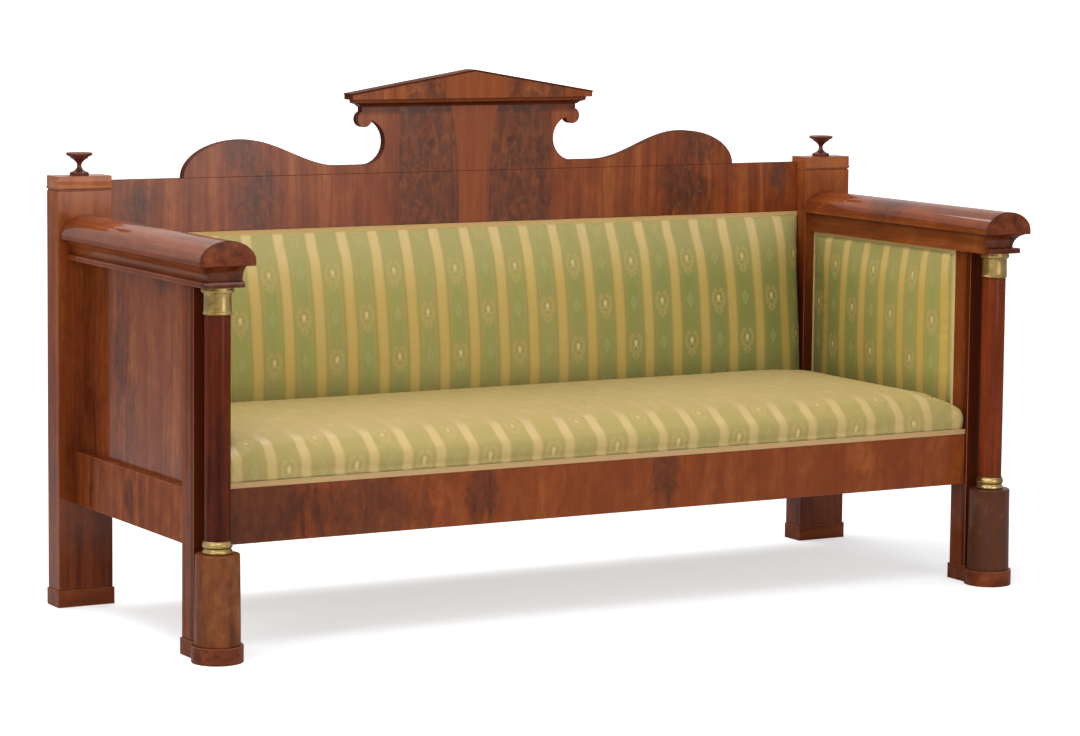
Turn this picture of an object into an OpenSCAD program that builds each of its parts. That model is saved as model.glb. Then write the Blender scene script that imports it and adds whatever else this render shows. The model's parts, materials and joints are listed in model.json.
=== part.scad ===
// Straight settee with a pediment back, closed arms on round columns and tight upholstery.
// Origin: middle of the footprint on the floor. +X to the right, +Y to the back, +Z up.

/* [Overall] */
// Width across the outer faces of the two rear posts
post_span = 2000; // [1860:10:2300]
// Distance from the front face of the rear posts forward to the middle of the columns
column_reach = 655; // [560:5:760]
// Height of the underside of the seat rails above the floor
rail_clear = 218; // [160:1:280]
// Height of the arms from the top of the seat rails to the underside of the arm mouldings
arm_rise = 406; // [330:1:430]
// Height of the upholstered back above the seat rails
back_rise = 451; // [440:1:560]

/* [Rear posts] */
// Width of a rear post
post_w = 122; // [100:1:150]
// Thickness of a rear post from front to back
post_t = 60; // [48:1:80]
// Height of the top of the cap above the top of the frieze rail
post_step = 13; // [4:1:40]
// Height of the plain part of the cap
cap_h = 22; // [14:1:40]
// Height of the bead under the plain part of the cap
cap_bead_h = 6; // [3:1:10]
// How far the bead stands proud
cap_bead_out = 1.5; // [0.5:0.5:4]
// Height of the groove under the bead
cap_neck_h = 3; // [1:0.5:6]
// Depth of the groove under the bead
cap_neck_in = 2; // [1:0.5:5]
// Height of the plinth band of a rear post
post_foot_h = 36; // [20:1:60]
// How far the plinth bands stand proud
plinth_over = 3; // [1:0.5:6]
// Height of a turned finial
finial_h = 48; // [30:1:80]
// Radius of the dish of a finial
finial_r = 28; // [18:1:28]

/* [Front columns] */
// Distance of the middle of an arm from the outer face of the rear post
arm_inset = 64; // [62:1:70]
// Radius of a column shaft
column_r = 25.5; // [18:0.5:29]
// How far the drum foot stands proud of the shaft at its bottom
drum_proud = 20.5; // [14:0.5:24]
// How much narrower the drum foot is at its top
drum_taper = 1.5; // [0:0.5:4]
// Depth of the flat where the drum foot meets the stile
drum_flat = 1; // [0.5:0.5:6]
// How far the round plinth stands proud of the drum foot
front_foot_proud = 5.5; // [2:0.5:10]
// Height of the plinth under the drum foot and the stile
front_foot_h = 34; // [20:1:50]
// Distance of the top of the drum foot below the underside of the rails
drum_drop = 4; // [0:1:20]
// Height of the brass ring at the base of the shaft
ring_h = 26; // [14:1:40]
// How far the brass ring stands proud of the shaft
ring_proud = 4.5; // [3:0.5:8]
// Height of the brass capital
capital_h = 42; // [24:1:60]
// Wall of the brass capital
capital_wall = 2; // [1:0.5:3]
// Height of the brass disc on the capital
abacus_h = 11; // [7:1:18]
// How far the brass disc stands proud of the shaft
abacus_proud = 7; // [5:0.5:8]
// Diameter of the dowels in the columns
column_dowel_d = 16; // [10:1:20]
// Depth of a dowel in each piece
column_dowel_in = 28; // [16:1:29]

/* [Front stiles] */
// Width of a front stile
stile_w = 62; // [58:1:70]
// Depth of a front stile from front to back
stile_d = 55; // [48:1:70]

/* [Seat frame] */
// Height of the seat rails
rail_h = 112; // [90:1:150]
// Thickness of the front seat rail
front_rail_t = 32; // [24:1:38]
// How far the front rail lies behind the face of the stiles
front_rail_set = 8; // [2:1:14]
// How far a side rail lies inside the outer face of the stile
side_rail_set = 7; // [2:1:12]
// Thickness of the rear seat rail
rear_rail_t = 34; // [26:1:44]
// Number of cross bars under the seat
brace_count = 2; // [1:1:4]
// Width of a cross bar
brace_w = 45; // [30:1:70]
// Height of a cross bar
brace_h = 40; // [25:1:60]
// Leg of the corner blocks of the seat frame
corner_leg = 80; // [50:1:120]
// Height of the corner blocks
corner_h = 60; // [30:1:72]
// Distance of the top of the corner blocks below the top of the rails
corner_drop = 15; // [5:1:25]
// Length of the rail tenons
tenon_l = 22; // [14:1:26]
// Thickness of the rail tenons
tenon_t = 14; // [8:1:16]
// Shoulder above and below the rail tenons
tenon_shoulder = 14; // [8:1:20]
// Wood left on the outer side of a side rail's tenon
tenon_cheek = 6; // [3:1:10]

/* [Arms] */
// Half the width of the rounded arm top
arm_half = 59.5; // [55:0.5:61.5]
// Height of the rounded arm top
arm_h = 50; // [36:1:64]
// Height of the square edge under the rounding
arm_edge_h = 8; // [4:1:14]
// How far the arm top runs past the middle of the column
arm_over = 50; // [44:1:60]
// Height of the moulding under the arm top
moulding_h = 43; // [34:1:56]
// Height of the fillet at the bottom of the moulding
fillet_h = 12; // [8:1:18]
// How far the fillet lies inside the edge of the arm top
fillet_in = 16; // [10:0.5:18]
// How far the hollow of the moulding cuts in from the edge of the arm top
cove_in = 28; // [22:0.5:32]
// How far the moulding overhangs the arm upholstery on the inner side
frieze_over = 12; // [6:1:16]
// Thickness of the veneered outer panel of an arm
arm_panel_t = 7; // [5:0.5:10]
// Thickness of the glued-up backing inside the arm
arm_backing_t = 30; // [24:0.5:34]
// Thickness of the arm upholstery at its edges
arm_rim = 5; // [3:0.5:8]
// Extra thickness of the arm upholstery at its middle
arm_crown = 12; // [6:1:16]

/* [Back] */
// Height of the frieze rail of the back
frieze_h = 116; // [90:1:150]
// Thickness of the boards of the back
board_t = 21; // [16:1:30]
// Half the length of the crest board
crest_half = 697; // [680:1:740]
// Height of the humps above the frieze rail
hump_h = 80; // [60:1:100]
// Length of the steep outer end of a hump
hump_end = 138; // [100:1:170]
// Length of the long inner slope of a hump
hump_slope = 235; // [200:1:250]
// Height of the hollow between hump and tablet above the frieze rail
saddle_h = 19; // [10:1:26]
// Height of the tablet above the frieze rail
tablet_h = 146; // [140:1:170]
// Radius of the round cut beside the tablet
cut_r = 50; // [44:0.5:51]
// Distance of the middle of the round cut from the middle of the settee
cut_x = 264; // [250:1:280]
// Radius of the lobe above the round cut
lobe_r = 18; // [14:0.5:20]
// Height of the pediment at its middle
gable_h = 61; // [48:1:90]
// Height of the upright ends of the pediment
eave_h = 11; // [8:1:16]
// Half the width of the pediment
eave_half = 304; // [295:1:330]
// How far the pediment stands in front of the tablet
pediment_over = 20; // [12:1:30]
// Height of the bed moulding under the pediment
bed_h = 16; // [12:1:24]
// Thickness of the coping strips on the pediment
coping_t = 3; // [2:0.5:5]
// How far the coping strips overhang the pediment
coping_over = 2; // [1:0.5:4]
// Diameter of the dowels in the crest
crest_dowel_d = 10; // [6:1:12]
// Depth of a crest dowel in each piece
crest_dowel_in = 18; // [10:1:24]
// Width of the bars of the back frame
back_bar = 60; // [45:1:80]
// Thickness of the back upholstery at its top
back_rim = 6; // [4:0.5:12]
// How much thicker the back upholstery is at its bottom
back_lean = 48; // [20:1:60]
// Extra thickness of the back upholstery at its middle
back_crown = 26; // [10:1:36]

/* [Upholstery] */
// Height of the seat edge above the seat rails
seat_edge = 70; // [50:1:80]
// Extra height of the seat at its middle
seat_crown = 22; // [10:1:36]
// How far the front of the seat bulges over the front rail
seat_bulge = 12; // [4:1:18]
// Width of the braid along the edges of the upholstery
braid_w = 11; // [8:1:16]
// Thickness of the braid
braid_t = 2; // [1:0.5:3]
// Width of a webbing strap
strap_w = 60; // [40:1:75]
// Gap between two webbing straps
strap_gap = 26; // [15:1:50]
// Thickness of a webbing strap
strap_t = 1.5; // [1:0.5:2]
// Thickness of the sackcloth over the webbing
sack_t = 1.5; // [1:0.5:2]
// Thickness of the lining cloth at the back
lining_t = 1.5; // [1:0.5:2]

/* [Hidden] */

// Roundness of the turned pieces
$fn = 64;
// Overrun of every cut past the faces it leaves
cut = 1;
// Clearance round a tenon or a dowel and inside a brass sleeve
fit = 0.2;
// Clearance between soft pieces and their neighbours
soft_gap = 0.4;
// Small chamfers and eased edges
ease = 2;
// Stretches in a curved part of an outline
curve_steps = 14;
// Stretches in the corner of a pad's outline
corner_steps = 4;

// Radii on the axis of a column
drum_r = column_r + drum_proud;
front_foot_r = drum_r + front_foot_proud;
ring_r = column_r + ring_proud;
capital_r = column_r + capital_wall;
abacus_r = column_r + abacus_proud;
column_stand = drum_r - drum_flat;

// Places from the middle outwards
post_x = post_span / 2;
inner_x = post_x - post_w;
arm_x = post_x - arm_inset;
stile_in_x = arm_x - stile_w / 2;
side_rail_out_x = arm_x + stile_w / 2 - side_rail_set;
side_tenon_x = side_rail_out_x - tenon_cheek - tenon_t / 2;
panel_x = stile_in_x + arm_backing_t;

// Places from back to front
back_y = (post_t + column_reach + max(front_foot_r, arm_over)) / 2;
post_y = back_y - post_t;
column_y = post_y - column_reach;
stile_y = column_y + column_stand;
stile_back_y = stile_y + stile_d;
front_rail_y = stile_y + front_rail_set;
bar_front_y = front_rail_y + front_rail_t;
rear_rail_y = post_y + (post_t - rear_rail_t) / 2;
board_y = back_y - board_t;
arm_front_y = column_y - arm_over;
pad_back_y = board_y - strap_t - sack_t;

// Places from the floor up
rail_top = rail_clear + rail_h;
drum_top = rail_clear - drum_drop;
moulding_z = rail_top + arm_rise;
arm_z = moulding_z + moulding_h;
abacus_z = moulding_z - abacus_h;
capital_z = abacus_z - capital_h;
frieze_z = rail_top + back_rise;
crest_z = frieze_z + frieze_h;
cap_z = crest_z + post_step - cap_h - cap_bead_h;
post_top = cap_z - cap_neck_h;
bed_z = crest_z + tablet_h;
pediment_z = bed_z + bed_h;
sack_z = rail_top + 2 * strap_t;
seat_z = sack_z + sack_t;

wood = "#8a3d1a";
wood_dark = "#5c2412";
plain_wood = "#b58a5c";
brass = "#b9974a";
cloth = "#9aa058";
gold_braid = "#cfa860";
jute = "#a98d62";

// Shared shapes

// The left piece is the mirror image of the right one
module left_side() { mirror([1, 0, 0]) children(); }
module both_sides() { children(); left_side() children(); }

// A block given by its lowest corner and its size
module block(corner, size) { translate(corner) cube(size); }

// An outline in X and Z, made into a board from y to y + depth
module board(y, depth) {
    translate([0, y + depth, 0]) rotate([90, 0, 0]) linear_extrude(depth) children();
}

// An outline in Y and Z, made into a length from x to x + width
module length_along_x(x, width) {
    translate([x, 0, 0]) rotate([90, 0, 90]) linear_extrude(width) children();
}

// Tenon that points to +X from x, in the middle of a rail of height h. A gap above 0 gives the
// mortise for it.
module tenon_x(x, mid_y, z, h, gap = 0) {
    over = gap > 0 ? cut : 0;
    block([x - over, mid_y - tenon_t / 2 - gap, z + tenon_shoulder - gap],
          [tenon_l + gap + over, tenon_t + 2 * gap, h - 2 * tenon_shoulder + 2 * gap]);
}

// Tenon of a side rail that points to the back from y, or to the front for a direction of -1
module side_tenon(y, direction, gap = 0) {
    over = gap > 0 ? cut : 0;
    low_y = direction > 0 ? y - over : y - tenon_l - gap;
    block([side_tenon_x - tenon_t / 2 - gap, low_y, rail_clear + tenon_shoulder - gap],
          [tenon_t + 2 * gap, tenon_l + gap + over, rail_h - 2 * tenon_shoulder + 2 * gap]);
}

// Dowel on the axis of a column, from depth below to height above the joint at z
module column_dowel(z, below, gap = 0) {
    translate([arm_x, column_y, z - below - gap])
        cylinder(h = below + column_dowel_in + 2 * gap, d = column_dowel_d + 2 * gap);
}
foot_dowel_in = min(column_dowel_in, front_foot_h - ease);

// A turned piece on the axis of the column, standing at height z
module turned(z) { translate([arm_x, column_y, z]) rotate_extrude() children(); }

// Rear posts

module rear_post_right() {
    color(wood) difference() {
        block([inner_x, post_y, post_foot_h], [post_w, post_t, post_top - post_foot_h]);
        tenon_x(inner_x, board_y + board_t / 2, frieze_z, post_top - frieze_z, fit);
        tenon_x(inner_x, rear_rail_y + rear_rail_t / 2, rail_clear, rail_h, fit);
        side_tenon(post_y, 1, fit);
    }
}
module rear_post_left() { left_side() rear_post_right(); }

module rear_foot_right() {
    color(wood_dark)
        block([inner_x - plinth_over, post_y - plinth_over, 0],
              [post_w + 2 * plinth_over, post_t + plinth_over, post_foot_h]);
}
module rear_foot_left() { left_side() rear_foot_right(); }

// The bead stands proud at the front and the outer side only, where no board meets the cap
module post_cap_right() {
    color(wood) {
        block([inner_x, post_y + cap_neck_in, post_top],
              [post_w - cap_neck_in, post_t - cap_neck_in, cap_neck_h]);
        block([inner_x, post_y - cap_bead_out, cap_z],
              [post_w + cap_bead_out, post_t + cap_bead_out, cap_bead_h]);
        block([inner_x, post_y, cap_z + cap_bead_h], [post_w, post_t, cap_h]);
    }
}
module post_cap_left() { left_side() post_cap_right(); }

// Finial outline: shares of the dish radius outwards and of the height upwards
finial_shares = [
    [0, 0], [0.72, 0], [0.72, 0.12], [0.64, 0.16], [0.34, 0.22], [0.2, 0.33], [0.17, 0.46],
    [0.24, 0.58], [0.42, 0.68], [0.66, 0.76], [0.7, 0.79], [0.94, 0.86], [1, 0.9],
    [1, 0.96], [0.93, 1], [0.7, 0.96], [0.3, 0.93], [0, 0.92]
];
module finial_right() {
    color(wood_dark)
        translate([post_x - post_w / 2, back_y - post_t / 2, crest_z + post_step])
            rotate_extrude() polygon([for (s = finial_shares) [s[0] * finial_r, s[1] * finial_h]]);
}
module finial_left() { left_side() finial_right(); }

// Front columns

// The square plinth of the stile runs into the round plinth of the drum foot
module front_foot_right() {
    color(wood_dark) difference() {
        union() {
            translate([arm_x, column_y, 0]) cylinder(h = front_foot_h, r = front_foot_r);
            block([stile_in_x - plinth_over, column_y, 0],
                  [stile_w + 2 * plinth_over, column_stand + stile_d + plinth_over, front_foot_h]);
        }
        column_dowel(front_foot_h, foot_dowel_in, fit);
    }
}
module front_foot_left() { left_side() front_foot_right(); }

module column_dowels() {
    color(plain_wood) both_sides() {
        column_dowel(front_foot_h, foot_dowel_in);
        column_dowel(drum_top, column_dowel_in);
        column_dowel(moulding_z, column_dowel_in);
    }
}

module drum_right() {
    drum_h = drum_top - front_foot_h;
    top_r = drum_r - drum_taper;
    color(wood) difference() {
        turned(front_foot_h)
            polygon([[0, 0], [drum_r, 0], [top_r, drum_h - ease], [top_r - ease, drum_h], [0, drum_h]]);
        column_dowel(front_foot_h, foot_dowel_in, fit);
        column_dowel(drum_top, column_dowel_in, fit);
        block([arm_x - drum_r - cut, stile_y, front_foot_h - cut],
              [2 * (drum_r + cut), drum_flat + cut, drum_h + 2 * cut]);
    }
}
module drum_left() { left_side() drum_right(); }

module column_right() {
    color(wood_dark) difference() {
        translate([arm_x, column_y, drum_top]) cylinder(h = abacus_z - drum_top, r = column_r);
        column_dowel(drum_top, column_dowel_in, fit);
        column_dowel(moulding_z, column_dowel_in, fit);
    }
}
module column_left() { left_side() column_right(); }

// A brass sleeve round the shaft, from z upwards
module sleeve(z, h) {
    color(brass) difference() {
        turned(z) children();
        translate([arm_x, column_y, z - cut]) cylinder(h = h + 2 * cut, r = column_r + fit);
    }
}

// Base ring outline: shares of how far the ring stands proud and of its height
ring_shares = [[0.6, 0], [0.75, 0.06], [0.75, 0.38], [0.6, 0.44], [0.9, 0.5], [1, 0.58], [1, 0.9],
               [0.8, 1]];
module base_ring_right() {
    sleeve(drum_top, ring_h)
        polygon(concat([[0, 0]],
                       [for (s = ring_shares) [column_r + s[0] * ring_proud, s[1] * ring_h]],
                       [[0, ring_h]]));
}
module base_ring_left() { left_side() base_ring_right(); }

// Capital outline: shares of how far its rim stands proud of its wall, and of its height
capital_shares = [[0.3, 0], [0.45, 0.03], [0.45, 0.1], [0, 0.14], [0, 0.7], [0.25, 0.84], [1, 1]];
module capital_right() {
    flare = abacus_r - ease - capital_r;
    sleeve(capital_z, capital_h)
        polygon(concat([[0, 0]],
                       [for (s = capital_shares) [capital_r + s[0] * flare, s[1] * capital_h]],
                       [[0, capital_h]]));
}
module capital_left() { left_side() capital_right(); }

module abacus_right() {
    color(brass) difference() {
        turned(abacus_z)
            polygon([[0, 0], [abacus_r - ease, 0], [abacus_r, ease], [abacus_r, abacus_h - ease],
                     [abacus_r - ease, abacus_h], [0, abacus_h]]);
        column_dowel(moulding_z, column_dowel_in, fit);
    }
}
module abacus_left() { left_side() abacus_right(); }

// Front stiles and seat frame

module front_stile_right() {
    color(wood) difference() {
        block([stile_in_x, stile_y, front_foot_h], [stile_w, stile_d, moulding_z - front_foot_h]);
        tenon_x(stile_in_x, front_rail_y + front_rail_t / 2, rail_clear, rail_h, fit);
        side_tenon(stile_back_y, -1, fit);
    }
}
module front_stile_left() { left_side() front_stile_right(); }

// A side rail is wider than the arm above it, so its top shows as a ledge outside the arm panel
module side_rail_right() {
    color(wood) {
        block([stile_in_x, stile_back_y, rail_clear],
              [side_rail_out_x - stile_in_x, post_y - stile_back_y, rail_h]);
        side_tenon(post_y, 1);
        side_tenon(stile_back_y, -1);
    }
}
module side_rail_left() { left_side() side_rail_right(); }

// A rail across the settee with a tenon at each end
module cross_rail(half_length, y, z, depth, h, tenon_h) {
    block([-half_length, y, z], [2 * half_length, depth, h]);
    both_sides() tenon_x(half_length, y + depth / 2, z, tenon_h);
}
module front_rail() {
    color(wood) cross_rail(stile_in_x, front_rail_y, rail_clear, front_rail_t, rail_h, rail_h);
}
module rear_rail() {
    color(plain_wood) cross_rail(inner_x, rear_rail_y, rail_clear, rear_rail_t, rail_h, rail_h);
}

// Cross bars run from the front rail to the rear rail, low enough to clear the webbing
module cross_bars() {
    color(plain_wood)
        for (i = [1 : brace_count])
            block([2 * stile_in_x * (i / (brace_count + 1) - 1 / 2) - brace_w / 2, bar_front_y,
                   rail_clear + ease],
                  [brace_w, rear_rail_y - bar_front_y, brace_h]);
}

// Corner blocks are glued into the corners of the seat frame
module corner_blocks() {
    color(plain_wood) both_sides() translate([0, 0, rail_top - corner_drop - corner_h]) {
        linear_extrude(corner_h)
            polygon([[stile_in_x, bar_front_y], [stile_in_x - corner_leg, bar_front_y],
                     [stile_in_x, bar_front_y + corner_leg]]);
        linear_extrude(corner_h)
            polygon([[inner_x, rear_rail_y], [inner_x - corner_leg, rear_rail_y],
                     [stile_in_x, post_y - corner_leg], [stile_in_x, post_y], [inner_x, post_y]]);
    }
}

// Webbing under the seat: straps from front to back on the rails, and long straps over them
web_front_y = front_rail_y + ease;
web_back_y = board_y - ease;
strap_pitch = strap_w + strap_gap;
function strap_count(room) = floor((room - strap_w) / strap_pitch) + 1;
module seat_webbing() {
    count = strap_count(2 * inner_x);
    long_count = strap_count(post_y - bar_front_y - 2 * strap_w);
    long_mid_y = (bar_front_y + post_y) / 2;
    color(jute) {
        for (i = [0 : count - 1])
            block([(i - (count - 1) / 2) * strap_pitch - strap_w / 2, web_front_y, rail_top],
                  [strap_w, web_back_y - web_front_y, strap_t]);
        for (i = [0 : long_count - 1])
            block([-stile_in_x + soft_gap,
                   long_mid_y + (i - (long_count - 1) / 2) * strap_pitch - strap_w / 2,
                   rail_top + strap_t],
                  [2 * (stile_in_x - soft_gap), strap_w, strap_t]);
    }
}

module seat_sackcloth() {
    color(jute) {
        block([-stile_in_x + soft_gap, web_front_y, sack_z],
              [2 * (stile_in_x - soft_gap), post_y - soft_gap - web_front_y, sack_t]);
        block([-inner_x + soft_gap, post_y - soft_gap, sack_z],
              [2 * (inner_x - soft_gap), web_back_y - post_y + soft_gap, sack_t]);
    }
}

// Arms

// Profile of the arm moulding: how far it lies inside the edge of the arm top, and its height.
// A fillet below, and a hollow that opens upwards to the edge.
moulding_profile = concat(
    [[fillet_in + ease, 0], [fillet_in, ease], [fillet_in, fillet_h - ease],
     [fillet_in + ease, fillet_h]],
    [for (i = [0 : curve_steps])
        [ease + (cove_in - ease) * cos(90 * i / curve_steps),
         fillet_h + ease / 2 + (moulding_h - fillet_h - ease / 2) * sin(90 * i / curve_steps)]]);

// The moulding runs along the outer side and is mitred round the front; its inner side is flat
module arm_moulding_right() {
    in_x = stile_in_x - frieze_over;
    edge_x = arm_x + arm_half;
    color(wood) translate([0, 0, moulding_z]) difference() {
        intersection() {
            board(arm_front_y, post_y - arm_front_y)
                polygon(concat([[in_x, 0]], [for (p = moulding_profile) [edge_x - p[0], p[1]]],
                               [[in_x, moulding_h]]));
            length_along_x(in_x, edge_x - in_x)
                polygon(concat([[post_y, 0]],
                               [for (p = moulding_profile) [arm_front_y + p[0], p[1]]],
                               [[post_y, moulding_h]]));
        }
        translate([0, 0, -moulding_z]) column_dowel(moulding_z, column_dowel_in, fit);
    }
}
module arm_moulding_left() { left_side() arm_moulding_right(); }

// Arm top: a square edge with half an ellipse over it
module arm_top_right() {
    dome_h = arm_h - arm_edge_h;
    steps = 2 * curve_steps;
    color(wood)
        board(arm_front_y, post_y - arm_front_y)
            translate([arm_x, arm_z])
                polygon(concat([[-arm_half, 0], [arm_half, 0]],
                               [for (i = [0 : steps])
                                   [arm_half * cos(180 * i / steps),
                                    arm_edge_h + dome_h * sin(180 * i / steps)]]));
}
module arm_top_left() { left_side() arm_top_right(); }

module arm_panel_right() {
    color(wood)
        block([panel_x, stile_back_y, rail_top],
              [arm_panel_t, post_y - stile_back_y, moulding_z - rail_top]);
}
module arm_panel_left() { left_side() arm_panel_right(); }

// Backing board inside the arm, which the arm upholstery is tacked to
module arm_backing_right() {
    color(plain_wood)
        block([stile_in_x, stile_back_y, rail_top],
              [arm_backing_t, post_y - stile_back_y, moulding_z - rail_top]);
}
module arm_backing_left() { left_side() arm_backing_right(); }

// Braid along the front, the top and the back edge of the arm upholstery
module arm_braid_right() {
    low_z = seat_z + soft_gap;
    color(gold_braid) {
        block([stile_in_x - braid_t, stile_back_y, moulding_z - braid_w],
              [braid_t, post_y - stile_back_y, braid_w]);
        for (y = [stile_back_y, post_y - braid_w])
            block([stile_in_x - braid_t, y, low_z], [braid_t, braid_w, moulding_z - braid_w - low_z]);
    }
}
module arm_braid_left() { left_side() arm_braid_right(); }

// Pads
// A pad is a stack of closed outlines, each with a share of the rim height and of the crown.

// Points of a corner of radius r round its middle, from angle a to a + 90 degrees
function corner_points(middle, r, a) =
    [for (i = [0 : corner_steps])
        middle + r * [cos(a + 90 * i / corner_steps), sin(a + 90 * i / corner_steps)]];
// Points between two points, both left out, in n stretches
function between(p, q, n) = [for (i = [1 : n - 1]) p + (q - p) * i / n];
// Outline with half width x and corner radius r from y0 to y1. Below step_y it is wider by step.
function outline(x, y0, y1, r, step, step_y, nx, ny) =
    let (low_x = x + step,
         turn_y = max(step_y, y0 + r + ease),
         c1 = corner_points([low_x - r, y0 + r], r, -90),
         c2 = corner_points([x - r, y1 - r], r, 0),
         c3 = corner_points([r - x, y1 - r], r, 90),
         c4 = corner_points([r - low_x, y0 + r], r, 180),
         right = [x, turn_y + ease],
         left = [-x, turn_y + ease])
    concat(c1, [[low_x, turn_y], right], between(right, c2[0], ny), c2,
           between(c2[corner_steps], c3[0], nx), c3, between(c3[corner_steps], left, ny),
           [left, [-low_x, turn_y]], c4, between(c4[corner_steps], c1[0], nx));

// Triangles of the skin between rings of n points each, with a fan at each end
function ring_faces(rings, n) = concat(
    [for (k = [0 : rings - 2]) for (i = [0 : n - 1])
        [k * n + i, (k + 1) * n + i, k * n + (i + 1) % n]],
    [for (k = [0 : rings - 2]) for (i = [0 : n - 1])
        [k * n + (i + 1) % n, (k + 1) * n + i, (k + 1) * n + (i + 1) % n]],
    [for (i = [0 : n - 1]) [rings * n, i, (i + 1) % n]],
    [for (i = [0 : n - 1]) [rings * n + 1, (rings - 1) * n + (i + 1) % n, (rings - 1) * n + i]]);

// Pad of half width half_x from y = -half_y to half_y, lying on z = 0.
// rims: rim height at the low edge and at the high edge. Rows of rings: inset at the sides, at
// the low edge and at the high edge, share of the rim and share of the crown.
module pad(half_x, half_y, rims, crown, corner_r, rings, nx, ny, step = 0, step_y = 0) {
    function rim_at(y) = rims[0] + (rims[1] - rims[0]) * (y + half_y) / (2 * half_y);
    ring_sets = [for (g = rings)
        let (x = half_x - g[0], y0 = g[1] - half_y, y1 = half_y - g[2],
             r = min(corner_r + max(0, g[0]) / 2, x / 2, (y1 - y0) / 3),
             wide = step * max(0, 1 - max(0, g[0]) / (2 * corner_r)))
        [for (p = outline(x, y0, y1, r, wide, step_y, nx, ny))
            [p[0], p[1], g[3] * rim_at(p[1]) + g[4] * crown]]];
    last = rings[len(rings) - 1];
    mid_y = (last[1] - last[2]) / 2;
    points = concat([for (ring = ring_sets) for (p = ring) p],
                    [[0, 0, 0], [0, mid_y, rim_at(mid_y) + crown]]);
    polyhedron(points, ring_faces(len(rings), len(ring_sets[0])));
}

// How the skin of a tight pad rises: inset as a share of the half depth, then shares of the rim
// and of the crown
skin_shares = [[0.05, 0.93, 0.02], [0.12, 1, 0.16], [0.23, 1, 0.42], [0.38, 1, 0.68],
               [0.56, 1, 0.88], [0.75, 1, 0.98], [0.9, 1, 1]];
function skin(half_y, low = 1, high = 1) =
    [for (s = skin_shares) [s[0] * half_y, s[0] * half_y * low, s[0] * half_y * high, s[1], s[2]]];

// Arm pad, inside its braid, bulging towards the sitter
module arm_pad_right() {
    low_z = seat_z + soft_gap;
    half_z = (moulding_z - braid_w - soft_gap - low_z) / 2;
    half_w = (post_y - stile_back_y) / 2 - braid_w - soft_gap;
    color(cloth)
        translate([stile_in_x - soft_gap / 2, (stile_back_y + post_y) / 2, low_z + half_z])
            rotate([90, 0, -90])
                pad(half_w, half_z, [arm_rim, arm_rim], arm_crown - soft_gap / 2, 3 * ease,
                    concat([[0, 0, 0, 0, 0], [0, 0, 0, 0.6, 0]], skin(half_z)), 9, 7);
}
module arm_pad_left() { left_side() arm_pad_right(); }

// Seat: between the arm pads, and wider in front of them, where it reaches the stiles
seat_front_y = front_rail_y + soft_gap;
seat_back_y = pad_back_y - back_rim - back_lean - back_crown / 3 - soft_gap;
seat_rim = rail_top + seat_edge - seat_z;
module seat_pad() {
    half_x = stile_in_x - arm_rim - arm_crown - soft_gap;
    half_y = (seat_back_y - seat_front_y) / 2;
    braid_share = (rail_top + braid_w + soft_gap - seat_z) / seat_rim;
    front_rings = [[0, 0, 0, 0, 0], [0, 0, 0, braid_share, 0],
                   [0, -seat_bulge * 0.75, 0, braid_share + 0.2, 0], [0, -seat_bulge, 0, 0.58, 0],
                   [ease, -seat_bulge * 0.55, ease, 0.8, 0]];
    color(cloth)
        translate([0, seat_front_y + half_y, seat_z])
            pad(half_x, half_y, [seat_rim, seat_rim], seat_crown, 5 * ease,
                concat(front_rings, skin(half_y, 1, 0.5)), 22, 8,
                stile_in_x - soft_gap - half_x, stile_back_y - 2 * ease - seat_front_y - half_y);
}

// Braid along the foot of the seat's front, between the stiles
module seat_braid() {
    color(gold_braid)
        block([-stile_in_x + soft_gap, front_rail_y - braid_t, rail_top],
              [2 * (stile_in_x - soft_gap), braid_t, braid_w]);
}

// Back

module frieze_rail() {
    color(wood) difference() {
        cross_rail(inner_x, board_y, frieze_z, board_t, frieze_h, post_top - frieze_z);
        crest_joint_dowels(fit);
    }
}

// Half the outline of the crest board above the frieze rail, from its outer end to the middle:
// a hump, a hollow, a round cut and a lobe under the tablet's top
hump_x = crest_half - hump_end;
cut_z = saddle_h + cut_r;
lobe_z = cut_z + cut_r;
neck_x = cut_x + lobe_r * 0.4;
// The lobe and the cut meet this far beside and above the middle of the cut
meet_z = cut_r - lobe_r * lobe_r / (2 * cut_r);
meet_x = sqrt(cut_r * cut_r - meet_z * meet_z);
cut_end_angle = 180 - atan2(meet_z, meet_x);
lobe_start_angle = 180 + atan2(cut_r - meet_z, meet_x);
lobe_end_angle = 360 + acos(0.4);
function arc(cx, cz, rx, rz, a, b) =
    [for (i = [0 : curve_steps])
        let (t = a + (b - a) * i / curve_steps) [cx + rx * cos(t), cz + rz * sin(t)]];
crest_outline = concat(
    arc(hump_x, 0, hump_end, hump_h, 0, 90),
    [for (i = [1 : curve_steps])
        [hump_x - hump_slope * i / curve_steps,
         saddle_h + (hump_h - saddle_h) * (1 + cos(180 * i / curve_steps)) / 2]],
    arc(cut_x, cut_z, cut_r, cut_r, 270, cut_end_angle),
    arc(cut_x, lobe_z, lobe_r, lobe_r, lobe_start_angle, lobe_end_angle),
    [[neck_x, tablet_h]]);
function mirrored(points) = [for (i = [len(points) - 1 : -1 : 0]) [-points[i][0], points[i][1]]];

module crest_board() {
    color(wood) difference() {
        board(board_y, board_t)
            translate([0, crest_z]) polygon(concat(crest_outline, mirrored(crest_outline)));
        crest_joint_dowels(fit);
        pediment_dowels(fit);
    }
}

// Dowels between the frieze rail and the crest board, at these shares of its half length
crest_dowel_shares = [0.14, 0.76];
module crest_joint_dowels(gap = 0) {
    both_sides() for (s = crest_dowel_shares)
        translate([s * crest_half, board_y + board_t / 2, crest_z - crest_dowel_in - gap])
            cylinder(h = 2 * (crest_dowel_in + gap), d = crest_dowel_d + 2 * gap);
}
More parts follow.
